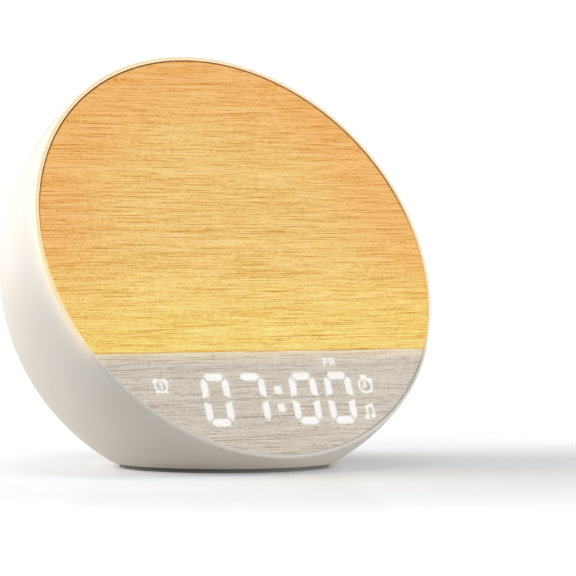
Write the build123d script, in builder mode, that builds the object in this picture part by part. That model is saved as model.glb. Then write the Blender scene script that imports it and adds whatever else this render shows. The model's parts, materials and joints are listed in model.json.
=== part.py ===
from build123d import *
from math import cos, radians, sin, sqrt, tan
import os

# Sunrise alarm clock: a ball-shaped bowl, cut off by a leaning face of lit fabric.
# Millimetres. The origin is the middle of the foot's underside, +Z is up,
# the face looks towards -Y and a person in front of it has +X on the right.

os.makedirs("parts", exist_ok=True)

# ---------------------------------------------------------------- driving sizes
# bowl
ball_radius = 90.0        # outside of the bowl
wall = 2.6                # bowl wall
ball_cut = 11.6           # height of the cap cut off under the ball
face_tilt = 26.5          # face leans back from upright, degrees
face_offset = 13.0        # lip crest in front of the ball's centre
lip_width = 1.46          # lip, at its crest
lip_chamfer = 0.5
face_sink = 0.6           # fabric behind the lip crest
ledge_width = 2.0         # ledge that carries the face panel
ledge_thick = 2.0
ledge_slope = 3.4         # fall of the ledge's underside to the wall

# face panel
fabric_thick = 0.5
diffuser_thick = 2.0
panel_gap = 0.3           # face panel to lip, all round

# foot and base
foot_height = 1.6
foot_inset = 2.2          # foot inside the edge of the ball's flat
foot_width = 8.0
base_thick = 2.2
base_gap = 0.15           # base plate to its recess
floor_thick = 2.2         # bowl floor above the base plate
floor_clear = 1.0         # opening in the floor, round what stands on the base plate
base_screw_inset = 6.0    # base screws inside the foot
base_screw_angles = (90, 210, 330)
base_boss_size = 7.0
base_boss_height = 6.0

# coin cell and its door
cell_radius = 10.0
cell_thick = 3.2
cell_gap = 0.4
cell_lift = 0.6           # cell above the door, room for the lower contact
cup_wall = 2.0
cup_head = 1.0            # room above the cell for the upper contact
door_lap = 2.4            # door wider than the cup's bore, all round
door_thick = 1.2
door_gap = 0.2
door_tab_reach = 16.0     # screw of the door from the cell's axis
door_tab_width = 6.0
door_boss_height = 5.0
contact_thick = 0.3
contact_width = 4.0
contact_reach = 8.0

# parts behind the face
carrier_gap = 0.3         # tray and display frame to the ledge's inner edge
flange_level = 3.0        # back of the tray's and display's flanges, before the centre
flange_thick = 1.6
rest_width = 8.0          # rest blocks that the flanges lie on
rest_reach = 6.3          # rest blocks under the flanges
rest_height = 8.0
hook_gap = 0.15
hook_thick = 1.2
hook_nose = 0.9
hook_rise = 2.0
tray_rest_angles = (10, 90, 170, 207, 333)
display_rest_angles = (218, 322)
display_foot_angle = 270
tray_depth = 15.0
tray_wall = 1.6
tray_draft = 8.0
tray_flange = 7.8         # width of the tray's flange
band_height = 44.0        # display band, from the panel's lower edge to the lit field
divider_thick = 1.6
seal_thick = 1.5
led_board_thick = 1.6
led_board_gap = 2.5       # edge of the board to the cup's wall
led_pitch = 22.0
led_length = 5.0
led_height = 0.8
lamp_hole = (11.0, 4.0)

# display
display_gap = 0.3         # display frame below the divider
display_front = 0.5       # display frame behind the diffuser
display_width = 107.0
display_middle_x = -4.5
display_height = 31.8
display_trim = 1.9        # cut off the lower edge of the display's round flange
display_rim = 0.4         # display block inside its flange
digit_centre_x = 1.45
digit_drop = 20.4         # middle of the digits under the lit field's edge
digit_pitch = 16.5
digit_pair_pitch = 23.9   # between the pairs, over the colon
digit_width = 10.0        # between centrelines of the upright bars
digit_height = 19.4       # between centrelines of top and bottom bars
bar_thick = 3.2
bar_gap = 0.5
digit_slant = 4.1
colon_size = 3.4
colon_spread = 7.7
well_gap = 0.1
icon_size = 8.4           # window of an icon
icon_alarm_x = -51.3
icon_timer_x = 43.2
icon_rise = 6.1           # alarm and timer icons above the middle of the digits
icon_day_place = (29.2, 15.4)
icon_day_size = (8.0, 4.0)
icon_sound_place = (40.6, -5.3)
icon_sound_size = (5.2, 7.6)
display_board_thick = 1.6
display_board_short = 1.0 # board above the lower edge of the display frame
display_led_height = 0.8
display_led_size = 1.6
ir_size = 5.0
ir_place = (-42.5, -3.8)

# loudspeaker, facing back
grille_margin = 2.2       # flat round the grille
grille_ledge = 2.5        # grille outside the seat's bore
grille_thick = 1.6
grille_gap = 0.1
grille_border = 1.0       # slotted field inside the bore
slot_width = 1.8
slot_pitch = 4.0
seat_thick = 4.3          # wall between the grille and the speaker
seat_rim = 1.5            # speaker's frame outside the seat's bore
seat_margin = 0.65        # seat outside the speaker's hooks
gasket_thick = 0.5
gasket_gap = 0.3          # gasket to the surround
speaker_size = 44.0       # square frame of the speaker
speaker_corner = 1.0
basket_thick = 1.1
basket_leg = 5.0
basket_depth = 15.0
basket_back = 26.0
surround_width = 3.0
surround_proud = 1.0
surround_thick = 0.5
cone_thick = 0.6
cone_depth = 7.0
cap_radius = 9.0
magnet_radius = 16.0
magnet_length = 11.0

# key pad on the upper back
pad_rise = 40.0           # direction of the pad from the ball's centre, degrees above level
pad_flat = 6.0            # depth of the pad's flat under the ball's surface
pad_backing = 4.0         # thickness of the bowl under the flat
pad_end = 8.5             # panel outside the end keys
pad_side = 5.4            # panel outside the rows of keys
pad_thick = 2.0
pad_gap = 0.1
pad_opening_inset = (5.0, 2.0)
pad_opening_round = 8.0
key_pitch = 12.4
key_radius = 3.9
key_gap = 0.3
key_proud = 1.0
key_chamfer = 0.35
key_travel = 0.8
key_flange = 0.9          # flange wider than the cap, on each side
key_flange_thick = 0.8
key_flange_gap = 0.1
snooze_length = 20.4
stem_size = 3.0
stem_length = 1.8
plunger_size = 2.4
plunger_show = 1.0        # plunger above its switch, at rest
plunger_sunk = 1.8
plunger_gap = 0.3
switch_size = 6.2
switch_height = 3.5
switch_spare = 0.3        # below the plunger, with the key pressed
key_board_width = 28.0
key_board_thick = 1.6
pad_post_size = 4.0
pad_post_edge = 0.2       # posts inside the ends of the board
pad_post_spread = 14.0

# sockets and main board
recess_width = 42.0
recess_height = 16.0
recess_drop = 46.0        # middle of the socket recess under the ball's centre
recess_depth = 9.4        # flat of the recess under the ball's surface
recess_wall = 2.4
board_lift = 0.4          # underside of the main board above the recess's lower side
board_thick = 1.6
board_width = 60.0
board_depth = 47.2
board_gap = 0.4           # back edge to the recess wall
board_edge_gap = 3.0      # board's cut corners to the bowl's wall
post_size = 6.0
post_inset = 5.0          # posts inside the board's side edges
post_front_inset = 5.0
post_spread = 24.0
board_hook_back = 18.0    # hooks behind the board's front edge
jack_x = -13.5
jack_width = 9.0
jack_height = 11.0
jack_length = 14.0
jack_nose_radius = 4.0
jack_bore_radius = 3.2
jack_bore_depth = 11.6
jack_pin_radius = 1.0
jack_pin_short = 1.6      # pin behind the nose's face
socket_gap = 0.25
socket_sink = 0.2         # socket noses behind the recess's flat
usb_x = 10.0
usb_width = 13.1
usb_height = 5.7
usb_length = 14.0
usb_skin = 0.35
tongue_width = 11.0
tongue_thick = 1.9
tongue_length = 8.8
tongue_drop = 0.7         # tongue below the shell's roof

# screws
screw_radius = 1.25
screw_head_radius = 2.7
screw_head_height = 1.2
screw_length = 7.5
pilot_gap = 0.05
pilot_spare = 1.0
screw_clearance = 0.45
small_screw_radius = 0.9
small_clearance = 0.3
small_head_radius = 1.9
small_head_height = 1.0
small_screw_length = 4.5

# flat leads between the boards
lead_thick = 0.9
lead_bend = 5.0
lead_lift = 14.0          # straight end of a lead above the main board
lead_reach = 8.0          # straight end of a lead behind its own board
lamp_lead_width = 10.0
lamp_lead_back = 11.0     # where the leads land, behind the board's front edge
display_lead_width = 12.0
display_lead_back = 4.0
display_lead_rise = 1.7   # where the lead leaves the display board, above the digits' middle
pad_lead_width = 10.0
pad_lead_x = 24.0
pad_lead_back = 24.0
speaker_lead_width = 4.0
speaker_lead_ahead = 9.2  # where it lands, before the board's back edge
speaker_lead_sink = 4.0   # where the lead leaves the magnet, behind the frame

# ---------------------------------------------------------------- worked out
def on_ball(radius, across):
    """How far along a plane's normal a ball's surface lies, this far off the axis."""
    return sqrt(radius**2 - across**2)


ball_height = foot_height + ball_radius - ball_cut
forward = Vector(0, -cos(radians(face_tilt)), sin(radians(face_tilt)))
ball_centre = Vector(0, 0, ball_height)
bowl = Plane(origin=ball_centre, x_dir=(1, 0, 0), z_dir=forward)
bowl_section = Plane(origin=ball_centre, x_dir=(1, 0, 0), z_dir=-bowl.y_dir)
rear = Plane(origin=ball_centre, x_dir=(-1, 0, 0), z_dir=(0, 1, 0))
rear_section = Plane(origin=ball_centre, x_dir=(1, 0, 0), z_dir=(0, 0, 1))
pad_normal = Vector(0, cos(radians(pad_rise)), sin(radians(pad_rise)))
pad = Plane(origin=ball_centre, x_dir=(-1, 0, 0), z_dir=pad_normal)

inner_radius = ball_radius - wall
skin_radius = ball_radius - wall / 2
rim_radius = on_ball(ball_radius, face_offset)
opening_radius = rim_radius - lip_width
ledge_radius = opening_radius - ledge_width
panel_radius = opening_radius - panel_gap
fabric_back = face_offset - face_sink - fabric_thick
ledge_level = fabric_back - diffuser_thick
ledge_root = ledge_level - ledge_thick - ledge_slope

foot_outer = on_ball(ball_radius, ball_radius - ball_cut) - foot_inset
foot_inner = foot_outer - foot_width
base_screw_circle = foot_inner - base_screw_inset
floor_level = foot_height + base_thick
floor_top = floor_level + floor_thick
door_seat = foot_height + door_thick
cell_level = door_seat + cell_lift
cup_inner = cell_radius + cell_gap
cup_outer = cup_inner + cup_wall
cup_ceiling = cell_level + cell_thick + cup_head
door_radius = cup_inner + door_lap
door_length = door_tab_reach + door_tab_width / 2
floor_opening = max(cup_outer, door_length) + floor_clear
pilot_radius = screw_radius + pilot_gap
clearance_hole = screw_radius + screw_clearance
small_pilot = small_screw_radius + pilot_gap
small_hole = small_screw_radius + small_clearance

carrier_radius = ledge_radius - carrier_gap
rest_inner = carrier_radius - rest_reach
flange_front = flange_level + flange_thick
tray_floor = flange_level - tray_depth
tray_radius = carrier_radius - tray_flange
light_edge = band_height - panel_radius
divider_low = light_edge - divider_thick
seal_back = ledge_level - seal_thick
display_top = divider_low - display_gap
display_low = display_top - display_height
display_face = ledge_level - display_front
display_led_face = flange_level + display_led_height
display_foot = carrier_radius - display_trim
digit_centre_y = light_edge - digit_drop

seat_inner = speaker_size / 2 - seat_rim
grille_radius = seat_inner + grille_ledge
grille_field = seat_inner - grille_border
grille_plane = on_ball(ball_radius, grille_radius + grille_margin)
seat_plane = grille_plane - grille_thick - seat_thick
seat_size = speaker_size + 2 * (hook_gap + hook_thick + seat_margin)
speaker_face = seat_plane - gasket_thick
speaker_back = speaker_face - basket_thick
magnet_face = speaker_face - basket_depth

pad_length = 3 * key_pitch + 2 * (key_radius + pad_end)
pad_width = key_pitch + 2 * (key_radius + pad_side)
pad_plane = ball_radius - pad_flat
pad_under = pad_plane - pad_thick
pad_inside = pad_plane - pad_backing
pad_opening = (pad_length - 2 * pad_opening_inset[0], pad_width - 2 * pad_opening_inset[1])
key_flange_top = pad_under - key_flange_gap
key_flange_bottom = key_flange_top - key_flange_thick
stem_end = key_flange_bottom - stem_length
switch_top = stem_end - plunger_show
key_board_top = switch_top - switch_height
key_board_back = key_board_top - key_board_thick
hook_root = (pad_inside + pad_under) / 2

recess_middle = ball_height - recess_drop
recess_plane = on_ball(ball_radius, recess_drop) - recess_depth
recess_inside = recess_plane - recess_wall
board_low = recess_middle - recess_height / 2 + board_lift
board_top = board_low + board_thick
board_back = recess_inside - board_gap
board_front = board_back - board_depth
board_trim = on_ball(inner_radius, ball_height - board_low) - board_edge_gap
jack_level = board_top + jack_height / 2
usb_level = board_top + usb_height / 2
socket_face = recess_plane - socket_sink
jack_front = recess_inside - jack_length
speaker_lead_back = board_depth - speaker_lead_ahead
display_lead_x = (display_lead_width - board_width) / 2
big = 3 * ball_radius


def on_circle(radius, angle):
    """The point at this angle, in degrees, on a circle about the plane's origin."""
    return (radius * cos(radians(angle)), radius * sin(radians(angle)))


def disc_band(radius, low, high):
    """The part of a disc between two level chords."""
    Circle(radius)
    with Locations((0, low - big / 2), (0, high + big / 2)):
        Rectangle(big, big, mode=Mode.SUBTRACT)


def spoke_plane(base, angle):
    """The plane through a plane's normal and its spoke at this angle; its y is the normal."""
    spoke = base.x_dir * cos(radians(angle)) + base.y_dir * sin(radians(angle))
    return Plane(origin=base.origin, x_dir=spoke, z_dir=spoke.cross(base.z_dir))


def snap_hook(edge, root, grip):
    """Profile of a hook: a leg from root, outside an edge, with a nose over it at grip."""
    rise = hook_rise if grip > root else -hook_rise
    Polyline(
        (edge, root),
        (edge, grip),
        (edge - hook_nose, grip),
        (edge + hook_thick, grip + rise),
        (edge + hook_thick, root),
        close=True,
    )


flange_rests = dict.fromkeys((*tray_rest_angles, *display_rest_angles), carrier_radius)
flange_rests[display_foot_angle] = display_foot
board_hooks = Plane(origin=(0, board_front + board_hook_back, 0))
base_screw_places = [on_circle(base_screw_circle, angle) for angle in base_screw_angles]
post_x = board_width / 2 - post_inset - post_size / 2
post_y = board_front + post_front_inset + post_size / 2
board_posts = [(side * post_x, post_y + step * post_spread) for side in (-1, 1) for step in (0, 1)]
pad_post_x = (pad_length - pad_post_size) / 2 - pad_post_edge
pad_posts = [(sx * pad_post_x, sy * pad_post_spread / 2) for sx in (-1, 1) for sy in (-1, 1)]

# ---------------------------------------------------------------- bowl housing
# What stands inside the bowl: floor, posts, hooks, seats and the box of the
# sockets, all trimmed to the middle of the bowl's wall before they join it.
with BuildPart() as fittings:
    with BuildSketch(Plane.XY.offset(foot_height)):
        Circle(ball_radius)
    extrude(amount=floor_top - foot_height)
    with BuildSketch(Plane.XY.offset(floor_level)):
        with Locations(*base_screw_places):
            Rectangle(base_boss_size, base_boss_size)
    extrude(amount=floor_thick + base_boss_height)
    with BuildSketch(Plane.XY.offset(floor_level)):
        with Locations(*board_posts):
            Rectangle(post_size, post_size)
    extrude(amount=board_low - floor_level)
    # hooks that hold the main board down by its side edges
    for side in (0, 180):
        with BuildSketch(spoke_plane(board_hooks, side)):
            with BuildLine():
                snap_hook(board_width / 2 + hook_gap, floor_level, board_top + hook_gap)
            make_face()
        extrude(amount=rest_width / 2, both=True)
    # rest blocks with hooks for the flanges of the tray and the display
    for angle, edge in flange_rests.items():
        with BuildSketch(spoke_plane(bowl, angle)):
            with BuildLine():
                snap_hook(edge + hook_gap, flange_level, flange_front + hook_gap)
            make_face()
            with BuildLine():
                Polyline(
                    (rest_inner, flange_level - rest_height),
                    (rest_inner, flange_level),
                    (ball_radius, flange_level),
                    (ball_radius, flange_level - rest_height),
                    close=True,
                )
            make_face()
        extrude(amount=rest_width / 2, both=True)
    # speaker seat, with two hooks over the frame's upper and lower edges
    with BuildSketch(rear.offset(seat_plane)):
        Rectangle(seat_size, seat_size)
    extrude(amount=ball_radius - seat_plane)
    for angle in (90, 270):
        with BuildSketch(spoke_plane(rear, angle)):
            with BuildLine():
                snap_hook(speaker_size / 2 + hook_gap, seat_plane, speaker_back - hook_gap)
            make_face()
        extrude(amount=rest_width / 2, both=True)
    # flat backing of the key pad, and the posts and hooks of the key board
    with BuildSketch(pad.offset(pad_inside)):
        Circle(ball_radius)
    extrude(amount=pad_backing)
    with BuildSketch(pad.offset(key_board_top)):
        with Locations(*pad_posts):
            Rectangle(pad_post_size, pad_post_size)
    extrude(amount=pad_inside - key_board_top)
    for angle in (90, 270):
        with BuildSketch(spoke_plane(pad, angle)):
            with BuildLine():
                snap_hook(key_board_width / 2 + hook_gap, hook_root, key_board_back - hook_gap)
            make_face()
        extrude(amount=rest_width / 2, both=True)
    # box round the socket recess
    with BuildSketch(Plane.XZ.offset(-recess_inside)):
        with Locations((0, recess_middle)):
            Rectangle(recess_width + 2 * recess_wall, recess_height + 2 * recess_wall)
    extrude(amount=-(ball_radius - recess_inside))
    with Locations(ball_centre):
        Sphere(skin_radius, mode=Mode.INTERSECT)

with BuildPart() as housing_shell:
    # wall, lip and ledge are one profile, turned about the face's normal
    with BuildSketch(bowl_section) as bowl_profile:
        with BuildLine():
            outside = RadiusArc((rim_radius, face_offset), (0, -ball_radius), ball_radius)
            ledge_end = (on_ball(inner_radius, ledge_root), ledge_root)
            inside = RadiusArc((0, -inner_radius), ledge_end, -inner_radius)
            Line(outside @ 1, inside @ 0)
            Polyline(
                inside @ 1,
                (ledge_radius, ledge_level - ledge_thick),
                (ledge_radius, ledge_level),
                (opening_radius, ledge_level),
                (opening_radius, face_offset),
                outside @ 0,
            )
        make_face()
        crest = bowl_profile.vertices().filter_by_position(Axis.Y, face_offset, face_offset)
        chamfer(crest, length=lip_chamfer)
    revolve(axis=Axis(ball_centre, forward))
    add(fittings.part)
    # flat underside, base plate recess and opening in the floor
    with BuildSketch(Plane.XY.offset(foot_height)):
        Circle(ball_radius)
    extrude(amount=-ball_radius, mode=Mode.SUBTRACT)
    with BuildSketch(Plane.XY.offset(foot_height)):
        Circle(foot_outer + base_gap)
    extrude(amount=base_thick, mode=Mode.SUBTRACT)
    with BuildSketch(Plane.XY.offset(floor_level)):
        Circle(floor_opening)
    extrude(amount=floor_thick, mode=Mode.SUBTRACT)
    # flat of the key pad, its recess and its opening
    with BuildSketch(pad.offset(pad_plane)):
        Circle(ball_radius)
    extrude(amount=ball_radius - pad_plane, mode=Mode.SUBTRACT)
    with BuildSketch(pad.offset(pad_under)):
        SlotOverall(pad_length + 2 * pad_gap, pad_width + 2 * pad_gap)
    extrude(amount=pad_thick, mode=Mode.SUBTRACT)
    with BuildSketch(pad.offset(pad_inside)):
        RectangleRounded(*pad_opening, pad_opening_round)
    extrude(amount=pad_backing, mode=Mode.SUBTRACT)
    # flat of the grille, its rebate and the sound opening
    with BuildSketch(rear.offset(grille_plane)):
        Circle(ball_radius)
    extrude(amount=ball_radius - grille_plane, mode=Mode.SUBTRACT)
    with BuildSketch(rear.offset(grille_plane)):
        Circle(grille_radius + grille_gap)
    extrude(amount=-grille_thick, mode=Mode.SUBTRACT)
    with BuildSketch(rear.offset(seat_plane)):
        Circle(seat_inner)
    extrude(amount=grille_plane - seat_plane, mode=Mode.SUBTRACT)
    # socket recess and the holes of the two sockets
    with BuildSketch(Plane.XZ.offset(-recess_plane)):
        with Locations((0, recess_middle)):
            Rectangle(recess_width, recess_height)
    extrude(amount=-(ball_radius - recess_plane), mode=Mode.SUBTRACT)
    with BuildSketch(Plane.XZ.offset(-recess_inside)):
        with Locations((jack_x, jack_level)):
            Circle(jack_nose_radius + socket_gap)
        with Locations((usb_x, usb_level)):
            Rectangle(usb_width + 2 * socket_gap, usb_height + 2 * socket_gap)
    extrude(amount=-recess_wall, mode=Mode.SUBTRACT)
    # pilot holes of the base screws
    with BuildSketch(Plane.XY.offset(floor_level)):
        with Locations(*base_screw_places):
            Circle(pilot_radius)
    extrude(amount=screw_length - base_thick + pilot_spare, mode=Mode.SUBTRACT)
housing_shell.part.label = "housing_shell"
export_step(housing_shell.part, "parts/housing_shell.step")

# ---------------------------------------------------------------- face panel
with BuildPart() as diffuser_panel:
    with BuildSketch(bowl.offset(ledge_level)):
        Circle(panel_radius)
    extrude(amount=diffuser_thick)
diffuser_panel.part.label = "diffuser_panel"
export_step(diffuser_panel.part, "parts/diffuser_panel.step")

with BuildPart() as face_fabric:
    with BuildSketch(bowl.offset(fabric_back)):
        Circle(panel_radius)
    extrude(amount=fabric_thick)
face_fabric.part.label = "face_fabric"
export_step(face_fabric.part, "parts/face_fabric.step")

# ---------------------------------------------------------------- light tray
with BuildPart() as light_tray:
    # tapered cup with its flange, hollowed from the front
    with BuildSketch(bowl.offset(flange_level)):
        disc_band(tray_radius, light_edge, tray_radius)
    extrude(amount=-tray_depth, taper=tray_draft)
    with BuildSketch(bowl.offset(flange_level)):
        disc_band(carrier_radius, divider_low, carrier_radius)
    extrude(amount=flange_thick)
    with BuildSketch(bowl.offset(flange_level)):
        disc_band(tray_radius - tray_wall, light_edge + tray_wall, tray_radius)
    extrude(amount=-(tray_depth - tray_wall), taper=tray_draft, mode=Mode.SUBTRACT)
    with BuildSketch(bowl.offset(flange_level)):
        disc_band(tray_radius - tray_wall, light_edge + tray_wall, tray_radius)
    extrude(amount=flange_thick, mode=Mode.SUBTRACT)
    # wall that keeps the lamp's light out of the display
    with BuildSketch(bowl.offset(flange_front)):
        disc_band(carrier_radius, divider_low, light_edge)
    extrude(amount=seal_back - flange_front)
    with BuildSketch(bowl.offset(tray_floor)):
        Rectangle(*lamp_hole)
    extrude(amount=tray_wall, mode=Mode.SUBTRACT)
light_tray.part.label = "light_tray"
export_step(light_tray.part, "parts/light_tray.step")

with BuildPart() as light_seal:
    with BuildSketch(bowl.offset(seal_back)):
        disc_band(carrier_radius, divider_low, light_edge)
    extrude(amount=seal_thick)
light_seal.part.label = "light_seal"
export_step(light_seal.part, "parts/light_seal.step")

draft_loss = (tray_depth - tray_wall) * tan(radians(tray_draft))
led_board_radius = tray_radius - tray_wall - draft_loss - led_board_gap
led_board_low = light_edge + tray_wall + draft_loss + led_board_gap
led_board_back = tray_floor + tray_wall
led_board_front = led_board_back + led_board_thick

with BuildPart() as led_board:
    with BuildSketch(bowl.offset(led_board_back)):
        disc_band(led_board_radius, led_board_low, led_board_radius)
    extrude(amount=led_board_thick)
led_board.part.label = "led_board"
export_step(led_board.part, "parts/led_board.step")

led_steps = int(led_board_radius // led_pitch) + 1
led_rows = [led_pitch * (row + 0.5) for row in range(-led_steps, led_steps)]
led_places = [
    (x, y)
    for x in led_rows
    for y in led_rows
    if x**2 + y**2 < (led_board_radius - led_length) ** 2 and y > led_board_low + led_length
]

with BuildPart() as led_emitters:
    with BuildSketch(bowl.offset(led_board_front)):
        with Locations(*led_places):
            Rectangle(led_length, led_length)
    extrude(amount=led_height)
led_emitters.part.label = "led_emitters"
export_step(led_emitters.part, "parts/led_emitters.step")

# ---------------------------------------------------------------- clock display
digit_places = [
    digit_centre_x + side * digit_pair_pitch / 2 + step * digit_pitch
    for side, steps in ((-1, (-1, 0)), (1, (0, 1)))
    for step in steps
]
slant = tan(radians(digit_slant))
icon_places = [(x, digit_centre_y + icon_rise) for x in (icon_alarm_x, icon_timer_x)]
icon_day = (icon_day_place[0], digit_centre_y + icon_day_place[1])
icon_sound = (icon_sound_place[0], digit_centre_y + icon_sound_place[1])
ir_middle = (ir_place[0], digit_centre_y + ir_place[1])


def leaning(x, y):
    """A point of the display, leaned over about the middle of the digits."""
    return (x + (y - digit_centre_y) * slant, y)


def level_bar(x, y, spare):
    """Flat bar of a digit, pointed at both ends."""
    half = (digit_width - bar_gap) / 2 + spare
    side = bar_thick / 2 + spare
    corners = ((-half, 0), (side - half, side), (half - side, side))
    outline = [*corners, *[(-cx, -cy) for cx, cy in corners]]
    Polygon(*[leaning(x + cx, y + cy) for cx, cy in outline], align=None)


def upright_bar(x, y, spare):
    """Upright bar of a digit, pointed at both ends."""
    half = (digit_height / 2 - bar_gap) / 2 + spare
    side = bar_thick / 2 + spare
    corners = ((0, half), (side, half - side), (side, side - half))
    outline = [*corners, *[(-cx, -cy) for cx, cy in corners]]
    Polygon(*[leaning(x + cx, y + cy) for cx, cy in outline], align=None)


def display_windows(spare):
    """Outlines of the digits, the colon and the icons, each wider by spare all round."""
    for x in digit_places:
        for row in (-1, 0, 1):
            level_bar(x, digit_centre_y + row * digit_height / 2, spare)
        for side in (-1, 1):
            for half in (-1, 1):
                upright_bar(x + side * digit_width / 2, digit_centre_y + half * digit_height / 4, spare)
    for half in (-1, 1):
        with Locations(leaning(digit_centre_x, digit_centre_y + half * colon_spread / 2)):
            Rectangle(colon_size + 2 * spare, colon_size + 2 * spare)
    with Locations(*icon_places):
        Rectangle(icon_size + 2 * spare, icon_size + 2 * spare)
    with Locations(icon_day):
        Rectangle(icon_day_size[0] + 2 * spare, icon_day_size[1] + 2 * spare)
    with Locations(icon_sound):
        Rectangle(icon_sound_size[0] + 2 * spare, icon_sound_size[1] + 2 * spare)


display_middle = (display_middle_x, (display_top + display_low) / 2)
display_board_low = display_low + display_board_short
display_board_back = flange_level - display_board_thick

with BuildPart() as display_housing:
    with BuildSketch(bowl.offset(flange_level)):
        disc_band(carrier_radius, -display_foot, display_top)
    extrude(amount=flange_thick)
    with BuildSketch(bowl.offset(flange_front)):
        disc_band(carrier_radius - display_rim, display_low, display_top)
        with Locations(display_middle):
            Rectangle(display_width, big, mode=Mode.INTERSECT)
    extrude(amount=display_face - flange_front)
    with BuildSketch(bowl.offset(flange_level)):
        display_windows(well_gap)
        with Locations(ir_middle):
            Rectangle(ir_size + 2 * well_gap, ir_size + 2 * well_gap)
    extrude(amount=display_face - flange_level, mode=Mode.SUBTRACT)
display_housing.part.label = "display_housing"
export_step(display_housing.part, "parts/display_housing.step")

with BuildPart() as display_guides:
    with BuildSketch(bowl.offset(display_led_face)):
        display_windows(0)
    extrude(amount=display_face - display_led_face)
display_guides.part.label = "display_guides"
export_step(display_guides.part, "parts/display_guides.step")

with BuildPart() as display_board:
    with BuildSketch(bowl.offset(display_board_back)):
        disc_band(carrier_radius - display_rim, display_board_low, display_top)
        with Locations(display_middle):
            Rectangle(display_width, big, mode=Mode.INTERSECT)
    extrude(amount=display_board_thick)
display_board.part.label = "display_board"
export_step(display_board.part, "parts/display_board.step")

bar_lights = [
    leaning(x + across * digit_width / 2, digit_centre_y + up * digit_height / 4)
    for x in digit_places
    for across, up in ((0, -2), (0, 0), (0, 2), (-1, -1), (-1, 1), (1, -1), (1, 1))
]
colon_lights = [leaning(digit_centre_x, digit_centre_y + up * colon_spread / 2) for up in (-1, 1)]

with BuildPart() as display_leds:
    with BuildSketch(bowl.offset(flange_level)):
        with Locations(*bar_lights, *colon_lights, *icon_places, icon_day, icon_sound):
            Rectangle(display_led_size, display_led_size)
    extrude(amount=display_led_height)
display_leds.part.label = "display_leds"
export_step(display_leds.part, "parts/display_leds.step")

with BuildPart() as ir_receiver:
    with BuildSketch(bowl.offset(flange_level)):
        with Locations(ir_middle):
            Rectangle(ir_size, ir_size)
    extrude(amount=display_face - flange_level)
ir_receiver.part.label = "ir_receiver"
export_step(ir_receiver.part, "parts/ir_receiver.step")

# ---------------------------------------------------------------- base
with BuildPart() as base_plate:
    with BuildSketch(Plane.XY.offset(foot_height)):
        Circle(foot_outer)
    extrude(amount=base_thick)
    # cup of the coin cell and the boss of its door
    with BuildSketch(Plane.XY.offset(floor_level)):
        Circle(cup_outer)
        with Locations((0, door_tab_reach)):
            Rectangle(door_tab_width, door_tab_width)
    extrude(amount=door_boss_height)
    with BuildSketch(Plane.XY.offset(foot_height)):
        Circle(cup_inner)
    extrude(amount=cup_ceiling - foot_height, mode=Mode.SUBTRACT)
    # seat of the door, with its tab
    with BuildSketch(Plane.XY.offset(foot_height)):
        Circle(door_radius + door_gap)
        with Locations((0, door_length / 2)):
            Rectangle(door_tab_width + 2 * door_gap, door_length + 2 * door_gap)
    extrude(amount=door_thick, mode=Mode.SUBTRACT)
    with BuildSketch(Plane.XY.offset(door_seat)):
        with Locations((0, door_tab_reach)):
            Circle(small_pilot)
    extrude(amount=small_screw_length - door_thick + pilot_spare, mode=Mode.SUBTRACT)
    with BuildSketch(Plane.XY.offset(foot_height)):
        with Locations(*base_screw_places):
            Circle(clearance_hole)
    extrude(amount=base_thick, mode=Mode.SUBTRACT)
base_plate.part.label = "base_plate"
export_step(base_plate.part, "parts/base_plate.step")

with BuildPart() as rubber_foot:
    with BuildSketch(Plane.XY):
        Circle(foot_outer)
        Circle(foot_inner, mode=Mode.SUBTRACT)
    extrude(amount=foot_height)
rubber_foot.part.label = "rubber_foot"
export_step(rubber_foot.part, "parts/rubber_foot.step")

with BuildPart() as battery_door:
    with BuildSketch(Plane.XY.offset(foot_height)):
        Circle(door_radius)
        with Locations((0, door_length / 2)):
            Rectangle(door_tab_width, door_length)
        with Locations((0, door_tab_reach)):
            Circle(small_hole, mode=Mode.SUBTRACT)
    extrude(amount=door_thick)
battery_door.part.label = "battery_door"
export_step(battery_door.part, "parts/battery_door.step")

with BuildPart() as coin_cell:
    with BuildSketch(Plane.XY.offset(cell_level)):
        Circle(cell_radius)
    extrude(amount=cell_thick)
coin_cell.part.label = "coin_cell"
export_step(coin_cell.part, "parts/coin_cell.step")


def contact_strip(fixed, touching):
    """Bent strip of a cell contact: flat where it is fixed, then sloping to the cell."""
    step = contact_thick if touching > fixed else -contact_thick
    Polyline(
        (-contact_reach, fixed),
        (-contact_reach / 2, fixed),
        (contact_reach / 2, touching - step),
        (contact_reach / 2, touching),
        (-contact_reach / 2, fixed + step),
        (-contact_reach, fixed + step),
        close=True,
    )


with BuildPart() as cell_contacts:
    for fixed, touching in ((door_seat, cell_level), (cup_ceiling, cell_level + cell_thick)):
        with BuildSketch(Plane.XZ):
            with BuildLine():
                contact_strip(fixed, touching)
            make_face()
        extrude(amount=contact_width / 2, both=True)
cell_contacts.part.label = "cell_contacts"
export_step(cell_contacts.part, "parts/cell_contacts.step")

with BuildPart() as base_screws:
    with BuildSketch(Plane.XY.offset(foot_height)):
        with Locations(*base_screw_places):
            Circle(screw_head_radius)
    extrude(amount=-screw_head_height)
    with BuildSketch(Plane.XY.offset(foot_height)):
        with Locations(*base_screw_places):
            Circle(screw_radius)
    extrude(amount=screw_length)
base_screws.part.label = "base_screws"
export_step(base_screws.part, "parts/base_screws.step")

with BuildPart() as door_screw:
    with BuildSketch(Plane.XY.offset(foot_height)):
        with Locations((0, door_tab_reach)):
            Circle(small_head_radius)
    extrude(amount=-small_head_height)
    with BuildSketch(Plane.XY.offset(foot_height)):
        with Locations((0, door_tab_reach)):
            Circle(small_screw_radius)
    extrude(amount=small_screw_length)
door_screw.part.label = "door_screw"
export_step(door_screw.part, "parts/door_screw.step")

# ---------------------------------------------------------------- loudspeaker
slot_rows = int(grille_field // slot_pitch)


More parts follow.
